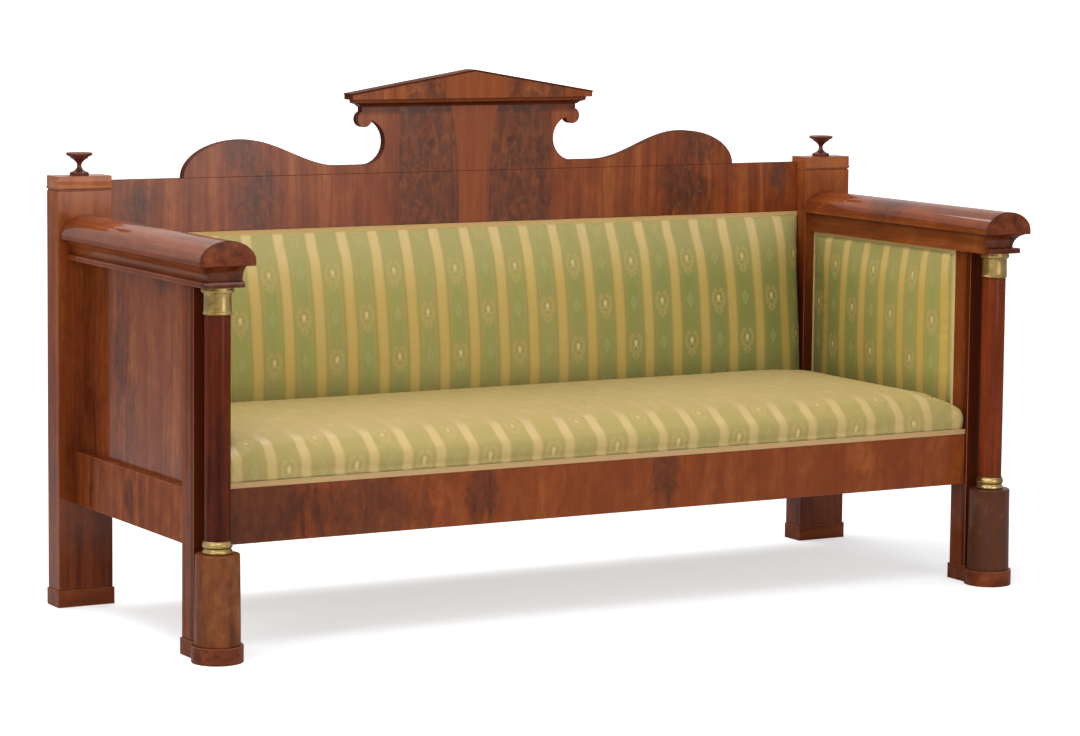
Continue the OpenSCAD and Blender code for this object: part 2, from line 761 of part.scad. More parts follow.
// Dowels from the tablet through the bed moulding into the pediment
module pediment_dowels(gap = 0) {
    both_sides()
        translate([eave_half / 2, board_y + board_t / 2, bed_z - crest_dowel_in - gap])
            cylinder(h = 2 * (crest_dowel_in + gap) + bed_h, d = crest_dowel_d + 2 * gap);
}
module crest_dowels() {
    color(plain_wood) {
        crest_joint_dowels();
        pediment_dowels();
    }
}

// Bed moulding: shares of the pediment's overhang outwards and of the moulding's height upwards
bed_shares = [[0.12, 0], [0.12, 0.15], [0.24, 0.22], [0.34, 0.36], [0.42, 0.56], [0.46, 0.78],
              [0.62, 0.8], [0.62, 1]];
module bed_moulding() {
    half = [for (s = bed_shares) [neck_x + s[0] * (eave_half - neck_x), s[1] * bed_h]];
    color(wood_dark) difference() {
        translate([0, 0, bed_z]) intersection() {
            board(board_y - pediment_over, board_t + pediment_over)
                polygon(concat(half, mirrored(half)));
            length_along_x(-eave_half, 2 * eave_half)
                polygon(concat([for (s = bed_shares) [board_y - s[0] * pediment_over, s[1] * bed_h]],
                               [[back_y, bed_h], [back_y, 0]]));
        }
        pediment_dowels(fit);
    }
}

module pediment() {
    color(wood) difference() {
        board(board_y - pediment_over, board_t + pediment_over)
            translate([0, pediment_z])
                polygon([[-eave_half, 0], [eave_half, 0], [eave_half, eave_h], [0, gable_h],
                         [-eave_half, eave_h]]);
        pediment_dowels(fit);
    }
}

// Thin coping strips on the two slopes of the pediment
module pediment_coping() {
    slope = (gable_h - eave_h) / eave_half;
    end_x = eave_half + coping_over;
    end_z = eave_h - slope * coping_over;
    color(wood_dark) both_sides()
        board(board_y - pediment_over - coping_over, board_t + pediment_over + coping_over)
            translate([0, pediment_z])
                polygon([[0, gable_h], [end_x, end_z], [end_x, end_z + coping_t],
                         [0, gable_h + coping_t]]);
}

// Frame of the back: a lower rail between the posts, and uprights at the posts and at the thirds
back_frame_t = board_t - lining_t;
upright_count = 4;
module back_lower_rail() {
    color(plain_wood)
        block([-inner_x, board_y, rail_top], [2 * inner_x, back_frame_t, back_bar]);
}
module back_uprights() {
    pitch = (2 * inner_x - back_bar) / (upright_count - 1);
    color(plain_wood)
        for (i = [0 : upright_count - 1])
            block([i * pitch - inner_x, board_y, rail_top + back_bar],
                  [back_bar, back_frame_t, back_rise - back_bar]);
}

// Upright straps on the front of the back frame, under the sackcloth
back_web_z = seat_z + soft_gap;
module back_webbing() {
    count = strap_count(2 * (inner_x - ease));
    color(jute)
        for (i = [0 : count - 1])
            block([(i - (count - 1) / 2) * strap_pitch - strap_w / 2, board_y - strap_t, back_web_z],
                  [strap_w, strap_t, frieze_z - ease - back_web_z]);
}
module back_sackcloth() {
    color(jute)
        block([-inner_x + soft_gap, pad_back_y, back_web_z],
              [2 * (inner_x - soft_gap), sack_t, frieze_z - ease - back_web_z]);
}

module back_pad() {
    high_z = frieze_z - braid_w - soft_gap;
    half_z = (high_z - back_web_z) / 2;
    color(cloth)
        translate([0, pad_back_y, back_web_z + half_z])
            rotate([90, 0, 0])
                pad(inner_x - soft_gap, half_z, [back_rim + back_lean, back_rim], back_crown, 3 * ease,
                    concat([[0, 0, 0, 0, 0], [0, 0, 0, 0.7, 0]], skin(half_z)), 22, 7);
}

// Braid along the top edge of the back upholstery
module back_braid() {
    color(gold_braid)
        block([-inner_x + soft_gap, pad_back_y - braid_t, frieze_z - braid_w],
              [2 * (inner_x - soft_gap), braid_t, braid_w]);
}

module back_lining() {
    color(jute)
        block([-inner_x + soft_gap, back_y - lining_t, rail_top],
              [2 * (inner_x - soft_gap), lining_t, back_rise]);
}

rear_post_left();
rear_post_right();
rear_foot_left();
rear_foot_right();
post_cap_left();
post_cap_right();
finial_left();
finial_right();
front_foot_left();
front_foot_right();
drum_left();
drum_right();
base_ring_left();
base_ring_right();
column_left();
column_right();
capital_left();
capital_right();
abacus_left();
abacus_right();
column_dowels();
front_stile_left();
front_stile_right();
side_rail_left();
side_rail_right();
arm_panel_left();
arm_panel_right();
arm_backing_left();
arm_backing_right();
arm_moulding_left();
arm_moulding_right();
arm_top_left();
arm_top_right();
arm_pad_left();
arm_pad_right();
arm_braid_left();
arm_braid_right();
front_rail();
rear_rail();
cross_bars();
corner_blocks();
seat_webbing();
seat_sackcloth();
seat_pad();
seat_braid();
frieze_rail();
crest_board();
crest_dowels();
bed_moulding();
pediment();
pediment_coping();
back_uprights();
back_lower_rail();
back_webbing();
back_sackcloth();
back_pad();
back_braid();
back_lining();
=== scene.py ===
"""Dresses the straight settee with a pediment back for its portrait: polished mahogany veneer, aged
brass and striped cloth. Lengths are in metres. Seen from the front, X runs right,
Y away and Z up."""
import bpy
import bmesh
import json
import math
from mathutils import Matrix, Vector


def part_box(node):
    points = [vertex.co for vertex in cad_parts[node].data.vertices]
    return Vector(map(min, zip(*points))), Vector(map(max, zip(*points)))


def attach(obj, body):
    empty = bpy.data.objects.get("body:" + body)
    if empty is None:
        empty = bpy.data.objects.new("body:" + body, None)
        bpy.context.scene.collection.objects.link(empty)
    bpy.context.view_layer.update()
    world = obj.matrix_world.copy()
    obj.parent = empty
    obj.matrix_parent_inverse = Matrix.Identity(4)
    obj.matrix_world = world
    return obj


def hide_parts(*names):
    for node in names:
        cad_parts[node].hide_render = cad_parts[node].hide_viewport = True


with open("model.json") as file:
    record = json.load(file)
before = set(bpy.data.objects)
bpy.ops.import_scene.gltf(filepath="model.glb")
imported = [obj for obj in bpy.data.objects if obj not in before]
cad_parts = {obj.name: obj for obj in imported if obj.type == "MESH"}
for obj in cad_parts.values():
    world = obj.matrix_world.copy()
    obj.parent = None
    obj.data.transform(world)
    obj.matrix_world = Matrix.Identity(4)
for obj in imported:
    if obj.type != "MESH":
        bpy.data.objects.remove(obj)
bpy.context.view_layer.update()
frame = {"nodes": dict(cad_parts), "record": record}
nodes = frame["nodes"]
scene = bpy.context.scene


def lo(node):
    return Vector(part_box(node)[0])


def hi(node):
    return Vector(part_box(node)[1])


# Main places, read from the CAD solids (metres)
POST_IN = lo("rear_post_right").x
POST_OUT = hi("rear_post_right").x
POST_FRONT = lo("rear_post_right").y
BACK = hi("rear_post_right").y
ARM_X = (lo("column_right").x + hi("column_right").x) / 2
COLUMN_Y = (lo("column_right").y + hi("column_right").y) / 2
STILE_IN = lo("front_stile_right").x
STILE_BACK = hi("front_stile_right").y
ARM_FRONT = lo("arm_top_right").y
RAIL_TOP = hi("front_rail").z
BOARD_FRONT = lo("frieze_rail").y
BED_LOW = lo("bed_moulding").z

# ------------------------------------------------------------------ node helpers

class Wire:
    """The output of a node. Arithmetic on a wire adds the math nodes to its tree."""

    def __init__(self, socket):
        self.socket = socket

    def __add__(self, other):
        return calc("ADD", self, other)

    def __sub__(self, other):
        return calc("SUBTRACT", self, other)

    def __rsub__(self, other):
        return calc("SUBTRACT", other, self)

    def __mul__(self, other):
        return calc("MULTIPLY", self, other)

    def __truediv__(self, other):
        return calc("DIVIDE", self, other)

    def __pow__(self, other):
        return calc("POWER", self, other)

    def __abs__(self):
        return calc("ABSOLUTE", self)

    __radd__ = __add__
    __rmul__ = __mul__


class Made:
    """A node whose outputs are read as wires by made[key]; all else is the node's own."""

    def __init__(self, node):
        self.node = node

    def __getitem__(self, key):
        return Wire(self.node.outputs[key])

    def __getattr__(self, name):
        return getattr(self.node, name)


def put(socket, value):
    if isinstance(value, Wire):
        socket.id_data.links.new(value.socket, socket)
    elif value is not None:
        socket.default_value = value


def fill(node, inputs):
    for key, value in inputs.items():
        put(node.inputs[key], value)


def tree_of(*values):
    return next(value.socket.id_data for value in values if isinstance(value, Wire))


def add(tree, kind, inputs=None, **settings):
    node = tree.nodes.new(kind)
    for key, value in settings.items():
        setattr(node, key, value)
    fill(node, inputs or {})
    return Made(node)


def calc(operation, *values, clamp=False):
    inputs = dict(enumerate(values))
    return add(tree_of(*values), "ShaderNodeMath", inputs, operation=operation, use_clamp=clamp)[0]


def clamped(value):
    return calc("ADD", value, 0.0, clamp=True)


def larger(a, b):
    return calc("MAXIMUM", a, b)


def sine(value):
    return calc("SINE", value)


def swing(noise_value, weight):
    """How far a noise is above or below its mean of a half, times weight."""
    return (noise_value - 0.5) * weight


def vectors(operation, a, b=None):
    made = add(tree_of(a, b), "ShaderNodeVectorMath", {0: a, 1: b}, operation=operation)
    return made["Value" if operation == "LENGTH" else "Vector"]


def step(value, low, high, to_low=0.0, to_high=1.0):
    """Smooth rise from to_low to to_high while value goes from low to high."""
    return add(tree_of(value), "ShaderNodeMapRange",
               {"Value": value, "From Min": low, "From Max": high, "To Min": to_low, "To Max": to_high},
               interpolation_type="SMOOTHSTEP")[0]


def blend(factor, a, b):
    """A mix of two colours, each one a wire or its red, green and blue."""
    made = add(tree_of(factor, a, b), "ShaderNodeMix", data_type="RGBA")
    for place, value in ((0, factor), (6, a), (7, b)):
        put(made.inputs[place], (*value, 1) if isinstance(value, tuple) else value)
    return made[2]


def shaded(colour, red, green, blue):
    return colour[0] * red, colour[1] * green, colour[2] * blue


def cloud(vector, scale, detail=3.0, rough=0.5, bend=0.0):
    return add(tree_of(vector), "ShaderNodeTexNoise",
               {"Vector": vector, "Scale": scale, "Detail": detail, "Roughness": rough,
                "Distortion": bend})[0]


def stretch(vector, scale, place=(0, 0, 0), turn=(0, 0, 0)):
    return add(tree_of(vector), "ShaderNodeMapping",
               {"Vector": vector, "Location": place, "Rotation": turn, "Scale": scale})[0]


def split(vector):
    made = add(tree_of(vector), "ShaderNodeSeparateXYZ", {0: vector})
    return made[0], made[1], made[2]


def join(x, y, z):
    return add(tree_of(x, y, z), "ShaderNodeCombineXYZ", {0: x, 1: y, 2: z})[0]


def bumped(height, strength, distance, under=None):
    """The normal of a surface with this height, on top of the normal under it."""
    return add(tree_of(height), "ShaderNodeBump",
               {"Strength": strength, "Distance": distance, "Height": height, "Normal": under})[0]


def own_coordinates(tree):
    return add(tree, "ShaderNodeTexCoord")["Object"]


def group(name, inputs, outputs):
    """A new shader node group: its tree and the nodes of its inputs and outputs. outputs are values,
    but Offset is a vector."""
    tree = bpy.data.node_groups.new(name, "ShaderNodeTree")
    for label, kind, value in inputs:
        socket = tree.interface.new_socket(label, in_out="INPUT", socket_type="NodeSocket" + kind)
        if value is not None:
            socket.default_value = value
    for label in outputs:
        kind = "Vector" if label == "Offset" else "Float"
        tree.interface.new_socket(label, in_out="OUTPUT", socket_type="NodeSocket" + kind)
    return tree, add(tree, "NodeGroupInput"), add(tree, "NodeGroupOutput")


def use(made_group, inputs):
    return add(tree_of(*inputs.values()), "ShaderNodeGroup", inputs, node_tree=made_group)


# ------------------------------------------------------------------ shared effects

def make_wood_grain():
    """Grain runs along Z of the vector, which is in metres."""
    tree, given, out = group(
        "wood_grain", [("Vector", "Vector", None), ("Ripple", "Float", 0.03)],
        ["Bands", "Streaks", "Pores", "Figure", "Mottle", "Swirl"])
    vector = given["Vector"]
    wander = add(tree, "ShaderNodeTexNoise",
                 {"Vector": stretch(vector, (5, 5, 2.2)), "Scale": 1.0, "Detail": 2.0})["Color"]
    wander = vectors("SUBTRACT", wander, (0.5, 0.5, 0.5))
    shift = add(tree, "ShaderNodeVectorMath", {0: wander, "Scale": given["Ripple"]}, operation="SCALE")[0]
    bent = vectors("ADD", vector, shift)
    fill(out, {
        "Bands": cloud(stretch(bent, (42, 42, 1.6)), 1.0, 4.0, 0.55, 0.4),
        "Streaks": cloud(stretch(bent, (260, 260, 4.5)), 1.0, 3.0, 0.6),
        "Pores": step(cloud(stretch(bent, (1500, 1500, 75)), 1.0, 1.0, 0.4), 0.60, 0.74),
        "Figure": cloud(stretch(bent, (11, 11, 4.6)), 1.0, 4.0, 0.62, 1.6),
        "Swirl": cloud(stretch(bent, (26, 26, 14)), 1.0, 3.5, 0.55, 2.2),
        "Mottle": cloud(stretch(bent, (34, 34, 22)), 1.0, 3.0, 0.5, 0.8)})
    return tree


def make_soft_spot():
    """A patch with frayed edges: 1 in its middle and 0 outside its half sizes."""
    tree, given, out = group(
        "soft_spot",
        [("Vector", "Vector", None), ("Middle", "Vector", (0, 0, 0)), ("Half Size", "Vector", (1, 1, 1)),
         ("Fray", "Float", 0.5)], ["Mask"])
    away = vectors("SUBTRACT", given["Vector"], given["Middle"])
    far = vectors("LENGTH", vectors("DIVIDE", away, given["Half Size"]))
    ragged = cloud(stretch(given["Vector"], (46, 46, 17)), 1.0, 4.0, 0.62, 0.8)
    far = far + swing(ragged, given["Fray"]) * 3.0
    put(out.inputs["Mask"], step(far, 0.35, 1.0, 1.0, 0.0))
    return tree


def make_leaf_zone():
    """A leaf of veneer with clean joints at both sides, which may flare towards its top."""
    tree, given, out = group(
        "leaf_zone",
        [("Vector", "Vector", None), ("Middle", "Float", 0.0), ("Low Half", "Float", 0.05),
         ("High Half", "Float", 0.05), ("Low", "Float", 0.8), ("High", "Float", 1.0)], ["Mask"])
    joint = 0.0005
    x, z = split(given["Vector"])[::2]
    climb = add(tree, "ShaderNodeMapRange",
                {"Value": z, "From Min": given["Low"], "From Max": given["High"]})[0]
    half = given["Low Half"] + climb ** 3.0 * (given["High Half"] - given["Low Half"])
    put(out.inputs["Mask"], step(half - abs(x - given["Middle"]), -joint, joint))
    return tree


def make_veneer_leaves():
    """Leaves of veneer side by side: the tone of each leaf, an offset for its grain, and the seams."""
    tree, given, out = group(
        "veneer_leaves",
        [("Along", "Float", 0.0), ("Leaf Width", "Float", 0.2), ("Start", "Float", 0.0),
         ("Seed", "Float", 0.0)], ["Tone", "Offset", "Seam"])
    place = (given["Along"] - given["Start"]) / given["Leaf Width"]
    chance = add(tree, "ShaderNodeTexWhiteNoise", {"W": calc("FLOOR", place) + given["Seed"]},
                 noise_dimensions="1D")
    from_seam = (0.5 - abs(calc("FRACT", place) - 0.5)) * given["Leaf Width"]
    fill(out, {"Tone": chance["Value"], "Offset": chance["Color"],
               "Seam": step(from_seam, 0.0002, 0.0009, 1.0, 0.0)})
    return tree


def make_cloth_weave():
    """Fine ribs of the weft over the warp. U runs across the warp and V along it, in metres."""
    tree, given, out = group(
        "cloth_weave",
        [("U", "Float", 0.0), ("V", "Float", 0.0), ("Warp Pitch", "Float", 0.0006),
         ("Weft Pitch", "Float", 0.0009)], ["Height", "Slub"])
    warp = sine(given["U"] * math.tau / given["Warp Pitch"])
    weft = sine(given["V"] * math.tau / given["Weft Pitch"])
    threads = join(given["U"] * 900.0, given["V"] * 14.0, 0.0)
    fill(out, {"Height": 0.5 + warp * weft * 0.25 + warp * 0.35,
               "Slub": cloud(threads, 1.0, 3.0, 0.6)})
    return tree


def make_wreath_stripe():
    """Gold stripes with a column of small wreaths and lozenges between them. U 0 is the middle of a
    ground stripe with a wreath at V 0."""
    tree, given, out = group(
        "wreath_stripe",
        [("U", "Float", 0.0), ("V", "Float", 0.0), ("Period", "Float", 0.076),
         ("Gold Width", "Float", 0.025), ("Repeat", "Float", 0.187)],
        ["Gold", "Gold Edge", "Wreath", "Flower", "Lozenge", "Haze", "Flank"])
    place = given["U"] / given["Period"] + 0.5
    across = (calc("FRACT", place) - 0.5) * given["Period"]
    side = abs(across)
    into_gold = side - (given["Period"] - given["Gold Width"]) * 0.5
    gold = step(into_gold, -0.0036, 0.0036)
    inner_line = step(abs(into_gold - 0.003), 0.0004, 0.0014, 1.0, 0.0)
    outer_line = step(abs(into_gold + 0.0035), 0.0006, 0.003, 1.0, 0.0)

    drop = calc("FLOORED_MODULO", calc("FLOOR", place), 2.0) * 0.5
    rows = given["V"] / given["Repeat"] + drop + 0.5
    up = (calc("FRACT", rows) - 0.5) * given["Repeat"]
    ground = 1.0 - gold

    def oval(right, above, half_width, half_height):
        """The distance from a middle, 1 on the oval of these half sizes."""
        a = right / half_width
        b = above / half_height
        return calc("SQRT", a * a + b * b)

    def shape(distance, low, high):
        return step(distance, low, high, 1.0, 0.0)

    # Wreath: an oval ring of leaves, open at its top, with a tied bow below
    around = oval(across, up, 0.0150, 0.0215)
    lean = calc("ARCTAN2", up, side) * 6.5 + (around - 1.0) * 3.2
    leaves = 0.02 + abs(sine(lean)) * 0.26
    wreath = shape(abs(around - 1.0) - leaves, -0.10, 0.12)
    wreath = wreath * step(oval(across, up - 0.0225, 0.005, 0.006), 0.8, 1.1)
    bow = shape(oval(side - 0.0065, up + 0.0275, 0.0052, 0.0030), 0.85, 1.1)
    tails = shape(oval(side - 0.0030, up + 0.0330, 0.0018, 0.0050), 0.8, 1.1)
    wreath = larger(larger(wreath, bow), tails)

    # Flower in the wreath: a bright bud on two leaves
    narrow = 1.0 + larger(up, -0.012) * 42.0
    bud = shape(oval(across / narrow, up - 0.0010, 0.0046, 0.0084), 0.5, 1.2)
    foot = shape(oval(side - 0.0045, up + 0.0075, 0.0042, 0.0032), 0.8, 1.1)

    # Lozenge halfway between two wreaths
    level = abs(up) - given["Repeat"] * 0.5
    kite = side / 0.0095 + abs(level) / 0.0175
    kite_line = shape(abs(kite - 0.80), 0.12, 0.34)
    heart = step(kite, 0.20, 0.55, 0.8, 0.0)

    fill(out, {"Gold": gold, "Flank": step(side, 0.008, 0.019), "Gold Edge": larger(inner_line, outer_line),
               "Wreath": wreath * ground, "Flower": larger(bud, foot * 0.30) * ground,
               "Lozenge": larger(kite_line, heart) * ground,
               "Haze": shape(oval(across, up, 0.022, 0.034), 0.5, 1.25)})
    return tree


GRAIN = make_wood_grain()
SPOT = make_soft_spot()
ZONE = make_leaf_zone()
LEAVES = make_veneer_leaves()
WEAVE = make_cloth_weave()
STRIPE = make_wreath_stripe()


# ------------------------------------------------------------------ materials

def new_material(name):
    """A material with its shader and the coordinates of the piece it is put on."""
    material = bpy.data.materials.new(name)
    material.use_nodes = True
    tree = material.node_tree
    tree.nodes.clear()
    shader = add(tree, "ShaderNodeBsdfPrincipled")
    add(tree, "ShaderNodeOutputMaterial", {0: shader[0]})
    return material, shader, own_coordinates(tree)


def zone_mask(own, zone):
    """zone: middle, low half width, high half width, low, high and more that isn't read here."""
    keys = ("Middle", "Low Half", "High Half", "Low", "High")
    return use(ZONE, dict(zip(keys, zone), Vector=own))["Mask"]


TURNS = {"Z": (0, 0, 0), "X": (0, math.pi / 2, 0), "Y": (math.pi / 2, 0, 0)}
BURR_BROWN = (0.095, 0.040, 0.020)
BURR_MURKY = (0.048, 0.023, 0.012)
BURR_ROSY = (0.250, 0.080, 0.034)
SEAM_DARK = (0.035, 0.008, 0.003)


def mahogany(name, along="Z", dark=(0.060, 0.010, 0.0025), middle=(0.190, 0.042, 0.009),
             light=(0.370, 0.110, 0.026), bands=1.0, figure=0.6, mottle=0.4, ripple=0.03,
             place=(0, 0, 0), bookmatch=False, leaf=None, spots=(), flamed=None, plain=None, flame=0.9,
             blotch=0.25, lift=0.0, gloss=0.08, coat=0.42, streaks=0.30):
    """French polished mahogany veneer. leaf: axis, width, start, seed and strength of leaves side by
    side. spots: middle, half size, depth of tone, fray of the edge; besides knots and patches of tone,
    some spots are painted shade and painted light. flamed and plain are leaf zones: middle, low half
    width, high half width, low, high, and the depth or the level of their tone."""
    material, shader, own = new_material(name)
    x, y, z = split(own)
    if bookmatch:
        x = abs(x)
    faced = join(x, y, z) if bookmatch else own
    moved, tone_shift, seam = faced, lift, None
    if leaf:
        axis, width, start, seed, strength = leaf
        parts = use(LEAVES, {"Along": {"X": x, "Y": y, "Z": z}[axis], "Leaf Width": width, "Start": start,
                             "Seed": seed})
        moved = vectors("ADD", faced, parts["Offset"])
        tone_shift = lift + swing(parts["Tone"], strength)
        seam = parts["Seam"]
    grain = use(GRAIN, {"Vector": stretch(moved, (1, 1, 1), place, TURNS[along]), "Ripple": ripple})
    tone = 0.5
    for part, weight in (("Bands", 0.85 * bands), ("Figure", 1.1 * figure), ("Mottle", 0.6 * mottle),
                         ("Streaks", streaks)):
        tone = tone + swing(grain[part], weight)
    tone = tone + tone_shift
    knots = None
    # Spots are knots and patches of tone, and also painted shade and painted light
    for spot_middle, half_size, strength, fray in spots:
        mask = use(SPOT, {"Vector": own, "Middle": spot_middle, "Half Size": half_size,
                          "Fray": fray})["Mask"]
        tone = tone - mask * strength
        if strength > 0 and fray > 0:
            knots = larger(knots, mask) if knots else mask
    if flamed:
        flames = zone_mask(own, flamed)
        tone = tone - flames * flamed[5]
        knots = larger(knots, flames) if knots else flames
    if knots:
        tone = tone + swing(grain["Swirl"], knots) * flame
    if plain:
        calm_zone = zone_mask(own, plain)
        rest = 1.0 - calm_zone
        calm = plain[5] + swing(grain["Bands"], 0.35) + swing(grain["Streaks"], 0.25)
        tone = calm * calm_zone + tone * rest
        if knots:
            knots = knots * rest
    ramp = add(tree_of(own), "ShaderNodeValToRGB", {0: clamped(tone)})
    low_end, high_end = ramp.color_ramp.elements
    low_end.position, low_end.color = 0.08, (*dark, 1)
    high_end.position, high_end.color = 0.94, (*light, 1)
    ramp.color_ramp.elements.new(0.5).color = (*middle, 1)
    purple = step(cloud(stretch(moved, (6, 6, 2.5)), 1.0, 3.0), 0.45, 0.7, 0.0, 0.35)
    colour = blend(purple, ramp[0], shaded(middle, 0.75, 0.62, 0.9))
    if knots:
        burr = stretch(faced, (46, 46, 30))
        murky = step(cloud(burr, 1.0, 4.0, 0.62, 0.35), 0.46, 0.62)
        rosy = stretch(burr, (1.2, 1.2, 1.2), (7.3, 2.1, 4.4))
        rosy = step(cloud(rosy, 1.0, 4.0, 0.6, 0.3), 0.52, 0.66)
        colour = blend(knots * 0.25, colour, BURR_BROWN)
        colour = blend(murky * knots * blotch, colour, BURR_MURKY)
        colour = blend(rosy * knots * (blotch * 0.6), colour, BURR_ROSY)
    colour = blend(grain["Pores"] * 0.35, colour, shaded(dark, 0.6, 0.6, 0.6))
    if seam:
        colour = blend(seam * 0.4, colour, SEAM_DARK)
    fill(shader, {"Base Color": colour, "Roughness": step(cloud(own, 9.0, 5.0, 0.6), 0.3, 0.75, 0.42, 0.60),
                  "Specular IOR Level": 0.02, "Coat Weight": coat, "Coat Roughness": gloss,
                  "Coat IOR": 1.55,
                  "Normal": bumped(cloud(own, 26.0, 2.0) - grain["Pores"] * 0.25, 0.12, 0.0012)})
    return material


def bare_wood(name, along, light=(0.46, 0.28, 0.13), dark=(0.24, 0.12, 0.05), place=(0, 0, 0)):
    """Planed carcass wood, gone brown with age and stained in patches."""
    material, shader, own = new_material(name)
    grain = use(GRAIN, {"Vector": stretch(own, (1, 1, 1), place, TURNS[along]), "Ripple": 0.015})
    tone = clamped(0.5 + swing(grain["Bands"], 1.6) + swing(grain["Streaks"], 0.9))
    stain = step(cloud(own, 5.0, 5.0, 0.6), 0.45, 0.75, 0.0, 0.45)
    fill(shader, {"Base Color": blend(stain, blend(tone, dark, light), (0.13, 0.075, 0.04)),
                  "Roughness": step(grain["Streaks"], 0.2, 0.8, 0.62, 0.85),
                  "Normal": bumped(grain["Streaks"], 0.35, 0.0006)})
    return material


def aged_brass(name):
    """Pale brass, rubbed by wear, darker and browner where hands and cloths don't reach."""
    material, shader, own = new_material(name)
    rubbed = step(cloud(own, 24.0, 4.0, 0.55, 0.6), 0.30, 0.66)
    freckle = step(cloud(own, 260.0, 3.0, 0.6), 0.58, 0.72)
    colour = blend(rubbed, (0.165, 0.100, 0.028), (0.400, 0.280, 0.108))
    dents = cloud(stretch(own, (60, 60, 90)), 1.0, 2.0, 0.5)
    fill(shader, {"Base Color": blend(freckle * 0.28, colour, (0.16, 0.095, 0.035)), "Metallic": 1.0,
                  "Roughness": step(rubbed, 0.0, 1.0, 0.44, 0.28), "Normal": bumped(dents, 0.16, 0.0010)})
    return material


# Colours of the striped cloth: its ground, its gold and the figures woven on them
GROUND_DEEP, GROUND_PALE = (0.190, 0.202, 0.046), (0.320, 0.320, 0.090)
GROUND_AGED = (0.350, 0.285, 0.080)
GROUND_FLANK = (0.345, 0.270, 0.072)
GROUND_HAZE = (0.355, 0.255, 0.075)
GROUND_LINE = (0.270, 0.215, 0.050)
GOLD_DEEP, GOLD_PALE = (0.400, 0.268, 0.052), (0.520, 0.365, 0.090)
GOLD_LINE = (0.400, 0.260, 0.060)
# A painted highlight on the gold at the seat's crown
GOLD_SHINE = (0.560, 0.415, 0.200)
# Wreath and flower colours: as woven, then under the painted sheen
WREATH_TAN, WREATH_SHEEN = (0.500, 0.365, 0.115), (0.520, 0.400, 0.150)
FLOWER_CREAM, FLOWER_SHEEN = (0.640, 0.500, 0.200), (0.600, 0.480, 0.230)
LOZENGE_GREEN = (0.375, 0.380, 0.150)
# Painted shade in the creases
TUCK_SHADE = (0.110, 0.095, 0.022)

# Below this Y, on the front of the seat, the pattern's rows follow the height alone
CROWN_FLOOR = -0.280


def striped_cloth(name, across, climb, start, row, painted_sheen, pale_ground, pale_gold, painted_shade, crease_shade, crown=None,
                  gold_width=0.023):
    """Silk and cotton stripe. across: axis that the stripes repeat on; climb: axes that the wreaths
    climb on; start and row: places of a ground stripe's middle and of a wreath; fade: axis, two
    places on it and how much painted sheen pales the cloth at each; pale_ground and pale_gold: the
    colours of that painted sheen; deep: axis, two places, depth and colour of painted shade on the
    ground; tuck: height, reach and depth of painted shade where the cloth is pulled in; crown: axis,
    place and reach of the bend where a painted highlight makes the gold palest."""
    material, shader, own = new_material(name)
    axes = dict(zip("XYZ", split(own)))
    u = axes[across] - start + swing(cloud(own, 7.0, 2.0), 0.006)
    v = axes[climb[0]]
    if crown:
        v = larger(v, CROWN_FLOOR) + axes[climb[1]]
    v = v - row
    mask = use(STRIPE, {"U": u, "V": v, "Gold Width": gold_width})
    weave = use(WEAVE, {"U": u, "V": v})

    aged = step(cloud(own, 3.2, 4.0, 0.55, 0.5), 0.36, 0.68)
    # Painted shade: the ground, and a little the gold, darker towards one side of the cloth
    axis, low, high, depth, shade_colour = painted_shade
    shade_share = step(axes[axis], low, high, 0.0, depth)
    ground = blend(weave["Slub"], GROUND_DEEP, GROUND_PALE)
    gold = blend(weave["Slub"], GOLD_DEEP, GOLD_PALE)
    for share, tint in ((aged * 0.45, GROUND_AGED), (mask["Flank"] * 0.65, GROUND_FLANK),
                        (mask["Haze"] * 0.50, GROUND_HAZE), (shade_share, shade_colour),
                        (mask["Gold Edge"] * 0.45, GROUND_LINE)):
        ground = blend(share, ground, tint)
    for share, tint in ((shade_share * 0.35, shade_colour), (mask["Gold Edge"] * 0.35, GOLD_LINE)):
        gold = blend(share, gold, tint)
    colour = blend(mask["Gold"], ground, gold)
    for part, share, tint in (("Wreath", 0.34, WREATH_TAN), ("Lozenge", 0.34, LOZENGE_GREEN),
                              ("Flower", 0.75, FLOWER_CREAM)):
        colour = blend(mask[part] * share, colour, tint)
    # The paler colours that the painted sheen gives the cloth
    pale = blend(mask["Gold"], pale_ground, pale_gold)
    for part, share, tint in (("Wreath", 0.18, WREATH_SHEEN), ("Flower", 0.35, FLOWER_SHEEN)):
        pale = blend(mask[part] * share, pale, tint)

    # Painted sheen: the cloth paler, its stripes fainter, towards one end
    axis, low, high, at_low, at_high = painted_sheen
    sheen_share = step(axes[axis], low, high, at_low, at_high)
    colour = blend(clamped(sheen_share + swing(cloud(own, 4.5, 4.0, 0.6), 0.5)), colour, pale)
    # Painted highlight on the gold at the bend of the crown
    if crown:
        axis, place, reach = crown
        shine = step(abs(axes[axis] - place), 0.0, reach, 0.50, 0.0)
        colour = blend(shine * mask["Gold"], colour, GOLD_SHINE)
    # Painted shade in a crease at one height, half as dark on the gold
    place, reach, depth = crease_shade
    crease_shade_share = step(abs(axes["Z"] - place), 0.0, reach, depth, 0.0) * (1.0 - mask["Gold"] * 0.5)
    raised = weave["Height"] + mask["Wreath"] * 0.8 + mask["Flower"] * 1.2 + mask["Gold"] * 0.5
    threads = bumped(raised, 0.30, 0.0003)
    fill(shader, {"Base Color": blend(crease_shade_share, colour, TUCK_SHADE),
                  "Roughness": step(mask["Gold"], 0.0, 1.0, 0.66, 0.46),
                  "Specular IOR Level": 0.30, "Sheen Weight": 0.12, "Sheen Roughness": 0.38,
                  "Sheen Tint": (1.0, 0.84, 0.52, 1),
                  "Normal": bumped(cloud(own, 12.0, 3.0, 0.5), 0.25, 0.006, threads)})
    return material


THREAD_PITCH = 0.0022


